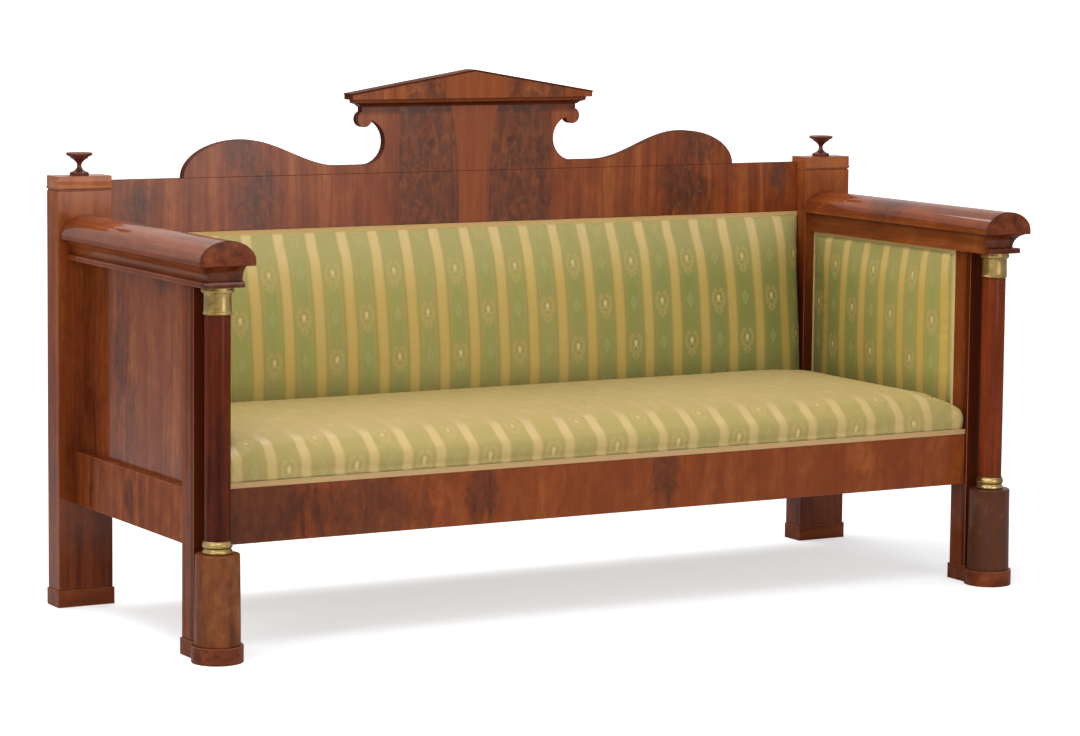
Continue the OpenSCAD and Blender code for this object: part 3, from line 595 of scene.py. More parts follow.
def braid_cloth(name, along, dark=(0.380, 0.215, 0.070), light=(0.590, 0.380, 0.160)):
    """Flat gold gimp with fine slanting threads."""
    material, shader, own = new_material(name)
    axes = dict(zip("XYZ", split(own)))
    side = [axes[k] for k in "XYZ" if k != along]
    slant = axes[along] + (side[0] + side[1]) * 0.8
    thread = sine(slant * (math.tau / THREAD_PITCH))
    colour = blend(step(thread, -1.0, 1.0), dark, light)
    aged = step(cloud(own, 22.0, 4.0, 0.6), 0.35, 0.7)
    fill(shader, {"Base Color": blend(aged * 0.4, colour, shaded(light, 0.86, 0.84, 1.0)), "Roughness": 0.5,
                  "Sheen Weight": 0.4, "Sheen Roughness": 0.4, "Sheen Tint": (1.0, 0.85, 0.6, 1),
                  "Normal": bumped(thread, 0.6, 0.0006)})
    return material


def plain_weave(name, u_axis, v_axis, dark, light, pitch, grime=0.5):
    """Coarse plain weave for webbing, sackcloth and lining."""
    material, shader, own = new_material(name)
    axes = dict(zip("XYZ", split(own)))
    weave = use(WEAVE, {"U": axes[u_axis], "V": axes[v_axis], "Warp Pitch": pitch, "Weft Pitch": pitch})
    colour = blend(weave["Slub"] * 0.7 + weave["Height"] * 0.3, dark, light)
    dust = step(cloud(own, 3.0, 5.0, 0.6), 0.40, 0.75, 0.0, grime)
    fill(shader, {"Base Color": blend(dust, colour, shaded(dark, 0.55, 0.5, 0.45)), "Roughness": 0.9,
                  "Sheen Weight": 0.2, "Normal": bumped(weave["Height"], 0.7, pitch * 0.4)})
    return material


RED_DARK = (0.026, 0.004, 0.0015)
RED_MID = (0.104, 0.017, 0.004)
RED_LIGHT = (0.215, 0.036, 0.008)
BURR_DARK = (0.070, 0.018, 0.005)
BURR_MID = (0.188, 0.055, 0.014)
BURR_LIGHT = (0.310, 0.118, 0.034)
# Far beyond the settee, for a spot or a bound that has no end that way
WIDE = 9.0

# Post spots: darker towards the bottom; a painted reflection of the lamps makes the tops lighter; painted
# shade on the right post's inner face, low down between the back and the arm
post_wood = mahogany(
    "post_veneer", figure=0.4, bands=0.8, place=(0.3, 0.1, 0.0), lift=0.07, coat=0.34,
    spots=[((0.0, 0.35, 0.0), (WIDE, WIDE, 0.72), 0.24, 0.0),
           ((0.0, 0.35, 1.05), (WIDE, WIDE, 0.26), -0.30, 0.0),
           ((0.885, 0.32, 0.42), (0.04, WIDE, 0.42), 0.42, 0.0)])
foot_wood = mahogany("plinth_veneer", "X", figure=0.4, lift=-0.18, place=(0.7, 0.4, 0.2), coat=0.25)
# Its spot makes the right column lighter than the left: painted light
column_wood = mahogany(
    "column_veneer", "Z", RED_DARK, RED_MID, RED_LIGHT, figure=0.5, gloss=0.16, place=(0.1, 0.5, 0.3),
    coat=0.11, lift=-0.20, streaks=0.45, spots=[((0.915, COLUMN_Y, 0.45), (0.2, 0.2, 0.42), -0.34, 0.25)])
drum_wood = mahogany(
    "drum_veneer", "Z", BURR_DARK, BURR_MID, BURR_LIGHT, figure=0.6, mottle=1.2, ripple=0.05,
    place=(0.9, 0.3, 0.6), lift=-0.11, coat=0.22, streaks=0.15,
    spots=[((0.915, -0.36, 0.10), (0.075, 0.10, 0.35), 0.78, 0.3)])
# Its spot darkens the front faces of the stiles behind the columns: painted shade
stile_wood = mahogany(
    "stile_veneer", figure=0.4, place=(0.2, 0.8, 0.1), lift=-0.15, coat=0.20,
    spots=[((0.0, COLUMN_Y + 0.042, 0.4), (WIDE, 0.022, WIDE), 0.42, 0.0)])
panel_wood = mahogany(
    "arm_panel_veneer", figure=0.6, mottle=0.6, ripple=0.05, lift=0.02, coat=0.45, gloss=0.05,
    spots=[((-0.942, 0.128, 0.56), (0.2, 0.045, 0.16), 0.20, 0.7),
           ((-0.942, 0.082, 0.43), (0.2, 0.040, 0.13), 0.22, 0.7),
           ((-0.942, -0.08, 0.73), (0.2, 0.06, 0.05), 0.16, 0.5),
           ((0.942, 0.02, 0.50), (0.2, 0.055, 0.24), 0.30, 0.7),
           # Painted shade on the rear of each panel, next to the rear post
           ((0.0, 0.323, 0.6), (WIDE, 0.17, 0.60), 0.22, 0.0)])
side_rail_wood = mahogany(
    "side_rail_veneer", figure=0.6, mottle=0.8, lift=-0.03, coat=0.10,
    leaf=("Y", 0.197, -0.041, 3.0, 0.18), spots=[((-0.96, 0.041, 0.27), (0.2, 0.035, 0.06), 0.36, 0.6)])
front_rail_wood = mahogany(
    "front_rail_veneer", figure=0.40, mottle=0.5, bands=0.28, ripple=0.07, lift=-0.03, coat=0.18,
    streaks=0.12, flame=0.45, blotch=0.16, leaf=("X", 0.364, -0.298, 7.0, 0.08),
    spots=[((-0.84, -0.28, 0.29), (0.19, 0.2, 0.16), 0.30, 0.3),
           ((-0.58, -0.28, 0.26), (0.20, 0.2, 0.12), 0.20, 0.6),
           ((-0.315, -0.28, 0.285), (0.045, 0.2, 0.08), 0.34, 0.6),
           ((0.118, -0.28, 0.285), (0.045, 0.2, 0.08), 0.26, 0.6),
           ((0.625, -0.28, 0.30), (0.06, 0.2, 0.05), -0.16, 0.4)])
back_wood = mahogany(
    "back_board_veneer", figure=0.5, bands=1.1, ripple=0.035, bookmatch=True, lift=-0.03, blotch=0.44,
    gloss=0.22, coat=0.50, leaf=("X", 0.149, 0.046, 5.0, 0.12),
    flamed=(0.0155, 0.1935, 0.1935, 0.8, 1.0, 0.10), plain=(0.010, 0.038, 0.060, 0.80, 1.043, 0.53),
    spots=[((0.104, 0.37, 0.966), (0.011, 0.2, 0.010), 0.50, 0.3),
           ((-0.096, 0.37, 0.962), (0.011, 0.2, 0.010), 0.50, 0.3),
           ((0.568, 0.37, 0.84), (0.085, 0.2, 0.12), 0.34, 0.6),
           ((0.600, 0.37, 0.95), (0.07, 0.2, 0.05), 0.18, 0.7),
           ((-0.522, 0.37, 0.84), (0.075, 0.2, 0.11), 0.28, 0.6),
           ((-0.562, 0.37, 0.95), (0.06, 0.2, 0.05), 0.28, 0.7),
           ((-0.80, 0.37, 0.84), (0.05, 0.2, 0.08), 0.22, 0.6),
           ((0.827, 0.37, 0.87), (0.03, 0.2, 0.07), 0.26, 0.5),
           # Painted shadow on the board under the bed moulding
           ((0.0, 0.37, BED_LOW), (WIDE, 0.2, 0.022), 0.42, 0.0)])
pediment_wood = mahogany(
    "pediment_veneer", figure=0.5, bands=1.1, bookmatch=True, lift=0.01, blotch=0.45, gloss=0.16, coat=0.34,
    leaf=("X", 0.096, 0.08, 2.0, 0.12), flamed=(0.031, 0.202, 0.202, 1.0, 1.1, 0.12),
    plain=(0.008, 0.080, 0.080, 1.0, 1.1, 0.56))
moulding_wood = mahogany(
    "arm_moulding_wood", "Y", figure=0.35, place=(0.5, 0.2, 0.9), lift=-0.01, coat=0.30,
    spots=[((0.0, ARM_FRONT, 0.76), (WIDE, 0.050, WIDE), 0.32, 0.0)])
arm_wood = mahogany(
    "arm_top_wood", "Y", figure=0.45, mottle=0.5, place=(0.15, 0.6, 0.4), lift=-0.11, gloss=0.06, coat=0.46,
    spots=[((0.0, ARM_FRONT, 0.8), (WIDE, 0.012, WIDE), 0.13, 0.0),
           ((0.93, 0.02, 0.80), (0.10, 0.10, 0.10), 0.20, 0.5)])
board_edge = mahogany("board_edge", "X", (0.024, 0.005, 0.002), (0.072, 0.016, 0.006),
                      (0.140, 0.038, 0.012), figure=0.4, coat=0.0)
# Its spot darkens the lower part of the bed moulding: painted shade
bed_wood = mahogany("bed_moulding_wood", "X", figure=0.3, place=(0.3, 0, 0.5), coat=0.20, lift=-0.04,
                    spots=[((0.0, 0.3, BED_LOW), (WIDE, WIDE, 0.011), 0.75, 0.0)])
turned_wood = mahogany("turned_wood", "Z", RED_DARK, (0.10, 0.02, 0.008), (0.22, 0.055, 0.02), figure=0.4,
                       place=(0.6, 0.7, 0.2))
worn_edge = mahogany("rubbed_edge", "Z", (0.12, 0.028, 0.010), (0.25, 0.070, 0.022), (0.40, 0.14, 0.055),
                     figure=0.4, gloss=0.14, coat=0.3, lift=-0.1)
brass = aged_brass("aged_brass")
frame_wood_x = bare_wood("carcass_wood_along_x", "X")
frame_wood_y = bare_wood("carcass_wood_along_y", "Y", place=(0.4, 0.3, 0.1))
frame_wood_z = bare_wood("carcass_wood_along_z", "Z", place=(0.2, 0.9, 0.6))
web_cloth = plain_weave("jute_webbing", "X", "Y", (0.22, 0.14, 0.07), (0.55, 0.40, 0.23), 0.0022)
web_cloth_back = plain_weave("jute_webbing_back", "X", "Z", (0.22, 0.14, 0.07), (0.55, 0.40, 0.23), 0.0022)
sack_cloth = plain_weave("hessian", "X", "Y", (0.28, 0.19, 0.10), (0.62, 0.48, 0.29), 0.0016)
lining_cloth = plain_weave("back_lining_cotton", "X", "Z", (0.150, 0.118, 0.075), (0.260, 0.212, 0.145),
                           0.0009, 0.22)
# Painted shade darkens the seat's front low down, the back towards its right, the arm pads towards the
# back, and creases by the seat and its gimp.
# Painted sheen pales the seat's top and the tops of the back and arm pads; a painted highlight lies on the
# seat's crown.
seat_cloth = striped_cloth(
    "seat_stripe", "X", "YZ", start=0.0052, row=0.081, painted_sheen=("Y", -0.29, -0.20, 0.50, 0.95),
    pale_ground=(0.366, 0.268, 0.088), pale_gold=(0.392, 0.286, 0.110),
    painted_shade=("Z", 0.405, 0.345, 0.50, (0.190, 0.140, 0.060)),
    crease_shade=(hi("seat_braid").z + 0.001, 0.0035, 0.60), crown=("Y", -0.250, 0.052), gold_width=0.0215)
back_cloth = striped_cloth(
    "back_stripe", "X", "Z", start=0.0165, row=0.590, painted_sheen=("Z", 0.62, 0.775, 0.04, 0.80),
    pale_ground=(0.375, 0.320, 0.120), pale_gold=(0.590, 0.445, 0.205),
    painted_shade=("X", -0.10, 0.80, 0.55, (0.115, 0.135, 0.026)), crease_shade=(0.395, 0.080, 0.55))
arm_cloth = striped_cloth(
    "arm_stripe", "Y", "Z", start=0.0620, row=0.667, painted_sheen=("Z", 0.62, 0.72, 0.0, 0.55),
    pale_ground=(0.330, 0.285, 0.095), pale_gold=(0.560, 0.430, 0.175),
    painted_shade=("Y", -0.20, 0.30, 0.60, (0.120, 0.135, 0.026)), crease_shade=(0.385, 0.090, 0.55))
braid_x = braid_cloth("gimp_along_x", "X")
braid_back = braid_cloth("gimp_of_back", "X", (0.470, 0.290, 0.085), (0.680, 0.450, 0.165))
braid_y = braid_cloth("gimp_along_y", "Y", (0.500, 0.350, 0.105), (0.700, 0.530, 0.210))
braid_z = braid_cloth("gimp_along_z", "Z", (0.500, 0.350, 0.105), (0.700, 0.530, 0.210))


# ------------------------------------------------------------------ piece helpers

def meshed(name, bm):
    """An object in the scene from a bmesh, which is spent."""
    mesh = bpy.data.meshes.new(name)
    bm.to_mesh(mesh)
    bm.free()
    made = bpy.data.objects.new(name, mesh)
    scene.collection.objects.link(made)
    return made


def even_shading(mesh):
    mesh.polygons.foreach_set("use_smooth", [True] * len(mesh.polygons))


slot_of = {row["node"]: row["material_slot"] for row in frame["record"]["subparts"]}


def piece(name, bm, material, node=None, slot=None, edge=None, ease=0.0, sharp=35, rim=False):
    """Makes a finished piece from a bmesh. ease rounds its sharp edges, which then take the edge material,
    as all faces that don't look forwards or back do where rim is set."""
    bmesh.ops.recalc_face_normals(bm, faces=bm.faces[:])
    if rim:
        bm.normal_update()
        for face in bm.faces:
            face.material_index = 1 if abs(face.normal.y) < 0.5 else 0
    made = meshed(name, bm)
    mesh = made.data
    even_shading(mesh)
    mesh.materials.append(material)
    if ease:
        if edge:
            mesh.materials.append(edge)
        bevel = made.modifiers.new("eased_edges", "BEVEL")
        bevel.width = ease
        bevel.segments = 3
        bevel.limit_method = "ANGLE"
        bevel.angle_limit = math.radians(sharp)
        bevel.harden_normals = True
        bevel.miter_outer = "MITER_ARC"
        bevel.material = 1 if edge else -1
    else:
        mesh.set_sharp_from_angle(angle=math.radians(sharp))
    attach(made, "root")
    if node:
        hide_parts(node)
        slot = slot or slot_of[node]


def pair(name, build, material, node, **options):
    """The right piece and its mirror image on the left."""
    piece(name + "_right", build(), material, node + "_right", **options)
    bm = build()
    bmesh.ops.scale(bm, vec=(-1, 1, 1), verts=bm.verts[:])
    piece(name + "_left", bm, material, node + "_left", **options)


def block(low, high):
    bm = bmesh.new()
    bmesh.ops.create_cube(bm, size=1.0)
    low, high = Vector(low), Vector(high)
    bmesh.ops.scale(bm, vec=high - low, verts=bm.verts[:])
    bmesh.ops.translate(bm, vec=(low + high) / 2, verts=bm.verts[:])
    return bm


def block_of(node):
    return lambda: block(lo(node), hi(node))


def pulled(points, move):
    """A solid from one flat face, pulled along move."""
    bm = bmesh.new()
    face = bm.faces.new([bm.verts.new(point) for point in points])
    far = bmesh.ops.extrude_face_region(bm, geom=[face])["geom"]
    bmesh.ops.translate(bm, vec=move, verts=[v for v in far if isinstance(v, bmesh.types.BMVert)])
    return bm


def softened(profile, radius, parts=3):
    """The profile with its inner corners rounded."""
    path = [Vector(profile[0])]
    for before, here, after in zip(profile, profile[1:], profile[2:]):
        before, here, after = Vector(before), Vector(here), Vector(after)
        into, away = before - here, after - here
        reach = min(radius, into.length * 0.45, away.length * 0.45)
        if reach < 1e-5 or into.angle(away) > math.radians(172):
            path.append(here)
            continue
        a, b = here + into.normalized() * reach, here + away.normalized() * reach
        for i in range(parts + 1):
            t = i / parts
            path.append(a * (1 - t) ** 2 + here * 2 * t * (1 - t) + b * t * t)
    path.append(Vector(profile[-1]))
    return path


def turned(profile, centre, steps=96, soften=0.0006):
    """A turned piece: profile points are (radius, height), from the bottom to the top."""
    bm = bmesh.new()
    path = softened(profile, soften)
    row = [bm.verts.new((centre[0] + p[0], centre[1], p[1])) for p in path]
    line = [bm.edges.new(ends) for ends in zip(row, row[1:])]
    bmesh.ops.spin(bm, geom=row + line, cent=(centre[0], centre[1], 0), axis=(0, 0, 1), dvec=(0, 0, 0),
                   angle=math.tau, steps=steps, use_merge=True, use_duplicate=False)
    bmesh.ops.remove_doubles(bm, verts=bm.verts[:], dist=1e-6)
    return bm


def board(outline, front, depth):
    """A board cut to an outline of (x, z) points."""
    return pulled([(x, front, z) for x, z in outline], (0, depth, 0))


def stack(rings):
    """A closed skin over flat rings of equal counts, one above the other."""
    bm = bmesh.new()
    loops = []
    for ring in rings:
        row = [bm.verts.new(p) for p in ring]
        loops.append([bm.edges.new((a, b)) for a, b in zip(row, row[1:] + row[:1])])
    for low, high in zip(loops, loops[1:]):
        bmesh.ops.bridge_loops(bm, edges=low + high)
    bmesh.ops.holes_fill(bm, edges=loops[0])
    bmesh.ops.holes_fill(bm, edges=loops[-1])
    return bm


EASE = 0.0012

# ------------------------------------------------------------------ rear posts

pair("rear_post_veneered", block_of("rear_post_right"), post_wood, "rear_post", edge=worn_edge, ease=EASE)
pair("rear_plinth", block_of("rear_foot_right"), foot_wood, "rear_foot", edge=worn_edge, ease=EASE)

CAP_LOW = lo("post_cap_right").z
CAP_TOP = hi("post_cap_right").z
CAP_STEPS = [(-0.002, 0.0), (-0.002, 0.003), (0.0007, 0.0036), (0.0015, 0.006), (0.0007, 0.0084),
             (0.0, 0.009), (0.0, 0.031)]


def cap_form():
    """A groove, a bead and a plain band on three sides; the back and the inner side are flat."""
    rings = []
    for out, up in CAP_STEPS:
        x, y, z = POST_OUT + out, POST_FRONT - out, CAP_LOW + up
        rings.append([(POST_IN, y, z), (x, y, z), (x, BACK, z), (POST_IN, BACK, z)])
    return stack(rings)


pair("post_cap_moulded", cap_form, post_wood, "post_cap", edge=worn_edge, ease=0.0008, sharp=50)

POST_MID = ((POST_IN + POST_OUT) / 2, (POST_FRONT + BACK) / 2)
FINIAL = [(0.0, 0.0), (0.0202, 0.0), (0.0202, 0.0050), (0.0190, 0.0070), (0.0125, 0.0090),
          (0.0078, 0.0125), (0.0052, 0.0170), (0.0047, 0.0215), (0.0058, 0.0255), (0.0085, 0.0288),
          (0.0120, 0.0318), (0.0150, 0.0342), (0.0186, 0.0362), (0.0196, 0.0376), (0.0196, 0.0388),
          (0.0240, 0.0402), (0.0268, 0.0422), (0.0280, 0.0440), (0.0280, 0.0460), (0.0264, 0.0480),
          (0.0240, 0.0472), (0.0160, 0.0458), (0.0080, 0.0450), (0.0, 0.0446)]
pair("turned_finial", lambda: turned([(r, CAP_TOP + z) for r, z in FINIAL], POST_MID), turned_wood,
     "finial")

# ------------------------------------------------------------------ front columns

COLUMN = (ARM_X, COLUMN_Y)
FOOT_H = hi("front_foot_right").z
FOOT_R = COLUMN_Y - lo("front_foot_right").y
DRUM_TOP = hi("drum_right").z
DRUM_R = hi("drum_right").x - ARM_X
SHAFT_R = hi("column_right").x - ARM_X
RING_TOP = hi("base_ring_right").z
CAPITAL_LOW = lo("capital_right").z
ABACUS_LOW = lo("abacus_right").z
ABACUS_TOP = hi("abacus_right").z
ABACUS_R = hi("abacus_right").x - ARM_X
BRASS_GAP = 0.0002
PLINTH_OUT = 0.003
PLINTH_PARTS = 48


def plinth_form():
    """The square plinth of the stile runs into the round plinth of the drum."""
    side = STILE_IN - PLINTH_OUT
    far = hi("front_foot_right").y
    out = 2 * ARM_X - side
    start = math.asin(min(1.0, (out - ARM_X) / FOOT_R))
    points = [(side, far), (side, COLUMN_Y + FOOT_R * math.cos(start))]
    sweep = math.pi - start
    for i in range(1, PLINTH_PARTS):
        angle = start + 2 * sweep * i / PLINTH_PARTS
        points.append((ARM_X - FOOT_R * math.sin(angle), COLUMN_Y + FOOT_R * math.cos(angle)))
    points += [(out, COLUMN_Y + FOOT_R * math.cos(start)), (out, far)]
    return pulled([(x, y, 0) for x, y in points], (0, 0, FOOT_H))


pair("front_plinth", plinth_form, foot_wood, "front_foot", edge=worn_edge, ease=EASE, sharp=42)
pair("drum_veneered", lambda: turned([(0, FOOT_H), (DRUM_R, FOOT_H), (DRUM_R - 0.0015, DRUM_TOP - 0.002),
                                      (DRUM_R - 0.0035, DRUM_TOP), (0, DRUM_TOP)], COLUMN, soften=0.0015),
     drum_wood, "drum")
pair("column_shaft", lambda: turned([(0, DRUM_TOP), (SHAFT_R, DRUM_TOP), (SHAFT_R, ABACUS_LOW),
                                     (0, ABACUS_LOW)], COLUMN), column_wood, "column")


def ring_form():
    """Cast base ring: a heavy lower bead, a hollow and a rounded upper band."""
    z = DRUM_TOP
    r = SHAFT_R + BRASS_GAP
    return turned([(r, z), (0.0282, z), (0.0296, z + 0.0012), (0.0299, z + 0.0036), (0.0294, z + 0.0062),
                   (0.0280, z + 0.0076), (0.0272, z + 0.0092), (0.0272, z + 0.0112), (0.0284, z + 0.0124),
                   (0.0298, z + 0.0144), (0.0300, z + 0.0176), (0.0296, z + 0.0208), (0.0284, z + 0.0228),
                   (0.0276, z + 0.0236), (0.0276, RING_TOP - 0.0006), (0.0268, RING_TOP), (r, RING_TOP),
                   (r, z)], COLUMN, soften=0.0004)


def capital_form():
    """Rolled brass sleeve with a beaded foot and a flared throat under the disc."""
    z = CAPITAL_LOW
    r = SHAFT_R + BRASS_GAP
    top = hi("capital_right").z
    return turned([(r, z), (0.0282, z), (0.0289, z + 0.0010), (0.0289, z + 0.0028), (0.0281, z + 0.0040),
                   (0.0275, z + 0.0048), (0.0275, z + 0.0062), (0.0279, z + 0.0070), (0.0275, z + 0.0080),
                   (0.0273, z + 0.0330), (0.0274, z + 0.0370), (0.0279, z + 0.0400), (0.0288, top - 0.0006),
                   (0.0290, top), (r, top), (r, z)], COLUMN, soften=0.0005)


pair("brass_base_ring", ring_form, brass, "base_ring")
pair("brass_capital", capital_form, brass, "capital")
DISC = [(0, ABACUS_LOW), (ABACUS_R - 0.0025, ABACUS_LOW), (ABACUS_R - 0.0006, ABACUS_LOW + 0.0018),
        (ABACUS_R, ABACUS_LOW + 0.0045), (ABACUS_R, ABACUS_LOW + 0.0066),
        (ABACUS_R - 0.0012, ABACUS_LOW + 0.0080), (ABACUS_R - 0.0012, ABACUS_TOP), (0, ABACUS_TOP)]
pair("brass_disc", lambda: turned(DISC, COLUMN), brass, "abacus")
pair("front_stile_veneered", block_of("front_stile_right"), stile_wood, "front_stile", edge=worn_edge,
     ease=EASE)

# ------------------------------------------------------------------ seat rails

RAIL_LOW = lo("front_rail").z
piece("front_rail_veneered",
      block((-STILE_IN, lo("front_rail").y, RAIL_LOW), (STILE_IN, hi("front_rail").y, RAIL_TOP)),
      front_rail_wood, "front_rail", edge=worn_edge, ease=EASE)
pair("side_rail_veneered",
     lambda: block((STILE_IN, STILE_BACK, RAIL_LOW), (hi("side_rail_right").x, POST_FRONT, RAIL_TOP)),
     side_rail_wood, "side_rail", edge=worn_edge, ease=EASE)

# ------------------------------------------------------------------ arms

MOULD_LOW = lo("arm_moulding_right").z
ARM_LOW = lo("arm_top_right").z
ARM_TOP = hi("arm_top_right").z
ARM_OUT = hi("arm_top_right").x
ARM_HALF = ARM_OUT - ARM_X
MOULD_IN = lo("arm_moulding_right").x


def moulding_form():
    """Fillet and hollow, mitred round the front; the inner side is flat."""
    rise = ARM_LOW - MOULD_LOW
    profile = [(0.0180, 0.0), (0.0165, 0.0006), (0.0160, 0.0020), (0.0160, 0.0100), (0.0165, 0.0114),
               (0.0180, 0.0120)]
    profile += [(0.002 + 0.026 * math.cos(math.pi / 2 * i / 14),
                 0.013 + (rise - 0.013) * math.sin(math.pi / 2 * i / 14)) for i in range(15)]
    rings = []
    for inset, up in profile:
        z = MOULD_LOW + up
        rings.append([(MOULD_IN, ARM_FRONT + inset, z), (ARM_OUT - inset, ARM_FRONT + inset, z),
                      (ARM_OUT - inset, POST_FRONT, z), (MOULD_IN, POST_FRONT, z)])
    return stack(rings)


def arm_form():
    """Rounded arm top, with a small round along its front rim."""
    edge = 0.008
    dome = ARM_TOP - ARM_LOW - edge
    outline = [(ARM_X - ARM_HALF, ARM_LOW), (ARM_X + ARM_HALF, ARM_LOW)]
    outline += [(ARM_X + ARM_HALF * math.cos(math.pi * i / 48),
                 ARM_LOW + edge + dome * math.sin(math.pi * i / 48)) for i in range(49)]
    return board(outline, ARM_FRONT, POST_FRONT - ARM_FRONT)


pair("arm_moulding_run", moulding_form, moulding_wood, "arm_moulding", sharp=32)
pair("arm_rest", arm_form, arm_wood, "arm_top", edge=board_edge, ease=0.0016, sharp=48)
pair("arm_panel_veneered", block_of("arm_panel_right"), panel_wood, "arm_panel")

# ------------------------------------------------------------------ back boards

FRIEZE_LOW = lo("frieze_rail").z
CREST_LOW = lo("crest_board").z
CREST_END = hi("crest_board").x
HUMP_H, HUMP_END, HUMP_SLOPE = 0.080, 0.138, 0.235
SADDLE_H, SADDLE_PARTS = 0.019, 28
TABLET_TOP = hi("crest_board").z
CUT_R, CUT_X = 0.050, 0.264
LOBE_R, LOBE_END = 0.018, 0.4


def arc(cx, cz, rx, rz, start, end, parts=24):
    return [(cx + rx * math.cos(math.radians(start + (end - start) * i / parts)),
             cz + rz * math.sin(math.radians(start + (end - start) * i / parts))) for i in range(parts + 1)]


def crest_outline():
    """From the outer end of a hump over its saddle, the round cut and its lobe to the tablet."""
    hump_x = CREST_END - HUMP_END
    cut_z = CREST_LOW + SADDLE_H + CUT_R
    lobe_z = cut_z + CUT_R
    meet_z = CUT_R - LOBE_R ** 2 / (2 * CUT_R)
    meet_x = math.sqrt(CUT_R ** 2 - meet_z ** 2)
    half = arc(hump_x, CREST_LOW, HUMP_END, HUMP_H, 0, 90)
    half += [(hump_x - HUMP_SLOPE * i / SADDLE_PARTS,
              CREST_LOW + SADDLE_H + (HUMP_H - SADDLE_H) * (1 + math.cos(math.pi * i / SADDLE_PARTS)) / 2)
             for i in range(1, SADDLE_PARTS + 1)]
    half += arc(CUT_X, cut_z, CUT_R, CUT_R, 270, 180 - math.degrees(math.atan2(meet_z, meet_x)))
    half += arc(CUT_X, lobe_z, LOBE_R, LOBE_R,
                180 + math.degrees(math.atan2(CUT_R - meet_z, meet_x)),
                360 + math.degrees(math.acos(LOBE_END)))[1:]
    half.append((CUT_X + LOBE_R * LOBE_END, TABLET_TOP))
    return half + [(-x, z) for x, z in reversed(half)]


piece("frieze_board", block((-POST_IN, BOARD_FRONT, FRIEZE_LOW), (POST_IN, BACK, CREST_LOW)), back_wood,
      "frieze_rail", edge=board_edge, ease=0.0005, rim=True)
piece("crest_board_veneered", board(crest_outline(), BOARD_FRONT, BACK - BOARD_FRONT), back_wood,
      "crest_board", edge=board_edge, ease=0.0006, sharp=45, rim=True)

GABLE_LOW = lo("pediment").z
GABLE_TOP = hi("pediment").z
EAVE_X = hi("pediment").x
GABLE_FRONT = lo("pediment").y
NECK_X = CUT_X + LOBE_R * LOBE_END


def bed_form():
    """Hollow below and round above, returned round both ends."""
    rings = []
    for out, up in [(0.10, 0.0), (0.10, 0.10), (0.17, 0.13), (0.20, 0.20), (0.25, 0.29), (0.33, 0.36),
                    (0.43, 0.41), (0.52, 0.46), (0.58, 0.54), (0.61, 0.64), (0.62, 0.76), (0.62, 1.0)]:
        x = NECK_X + out * (EAVE_X - NECK_X)
        y = BOARD_FRONT - out * (BOARD_FRONT - GABLE_FRONT)
        z = BED_LOW + up * (GABLE_LOW - BED_LOW)
        rings.append([(-x, y, z), (x, y, z), (x, BACK, z), (-x, BACK, z)])
    return stack(rings)


piece("bed_moulding_run", bed_form(), bed_wood, "bed_moulding", sharp=40)
EAVE_H = 0.011
STRIP_OUT, STRIP_H, STRIP_LAP = 0.002, 0.003, 0.0003
piece("pediment_veneered",
      board([(-EAVE_X, GABLE_LOW), (EAVE_X, GABLE_LOW), (EAVE_X, GABLE_LOW + EAVE_H), (0, GABLE_TOP),
             (-EAVE_X, GABLE_LOW + EAVE_H)], GABLE_FRONT, BACK - GABLE_FRONT), pediment_wood, "pediment",
      edge=board_edge, ease=0.0006, sharp=12, rim=True)
STRIP_X = EAVE_X + STRIP_OUT
STRIP_LOW = GABLE_LOW + EAVE_H - STRIP_LAP
piece("pediment_roof_strips",
      board([(STRIP_X, STRIP_LOW), (STRIP_X, STRIP_LOW + STRIP_H), (0, GABLE_TOP + STRIP_H),
             (-STRIP_X, STRIP_LOW + STRIP_H), (-STRIP_X, STRIP_LOW), (0, GABLE_TOP)],
            GABLE_FRONT - STRIP_OUT, BACK - GABLE_FRONT + STRIP_OUT), board_edge, "pediment_coping",
      edge=board_edge, ease=0.0006, sharp=30, rim=True)

# ------------------------------------------------------------------ soft pads

SMOOTHINGS = 6
STEPS = 16
PRESSURE = 3.0
RIM_ZONE = 0.030


def applied(made):
    """The mesh that the object's modifiers give; they are taken off."""
    shaped = bpy.data.meshes.new_from_object(made.evaluated_get(bpy.context.evaluated_depsgraph_get()))
    made.modifiers.clear()
    return shaped


def pinned_form(name, node, voxel, held):
    """The CAD form as an even skin. held(point) says which points stay on the frame."""
    bm = bmesh.new()
    bm.from_mesh(nodes[node].data)
    bmesh.ops.remove_doubles(bm, verts=bm.verts[:], dist=1e-5)
    bmesh.ops.recalc_face_normals(bm, faces=bm.faces[:])
    made = meshed(name, bm)
    even = made.modifiers.new("even_skin", "REMESH")
    even.mode = "VOXEL"
    even.voxel_size = voxel
    evened = applied(made)
    made.data = evened
    bm = bmesh.new()
    bm.from_mesh(evened)
    for _ in range(SMOOTHINGS):
        bmesh.ops.smooth_vert(bm, verts=[v for v in bm.verts if not held(v.co)], factor=0.5,
                              use_axis_x=True, use_axis_y=True, use_axis_z=True)
    bm.to_mesh(evened)
    bm.free()
    pins = made.vertex_groups.new(name="held")
    pins.add([v.index for v in evened.vertices if held(v.co)], 1.0, "REPLACE")
    return made


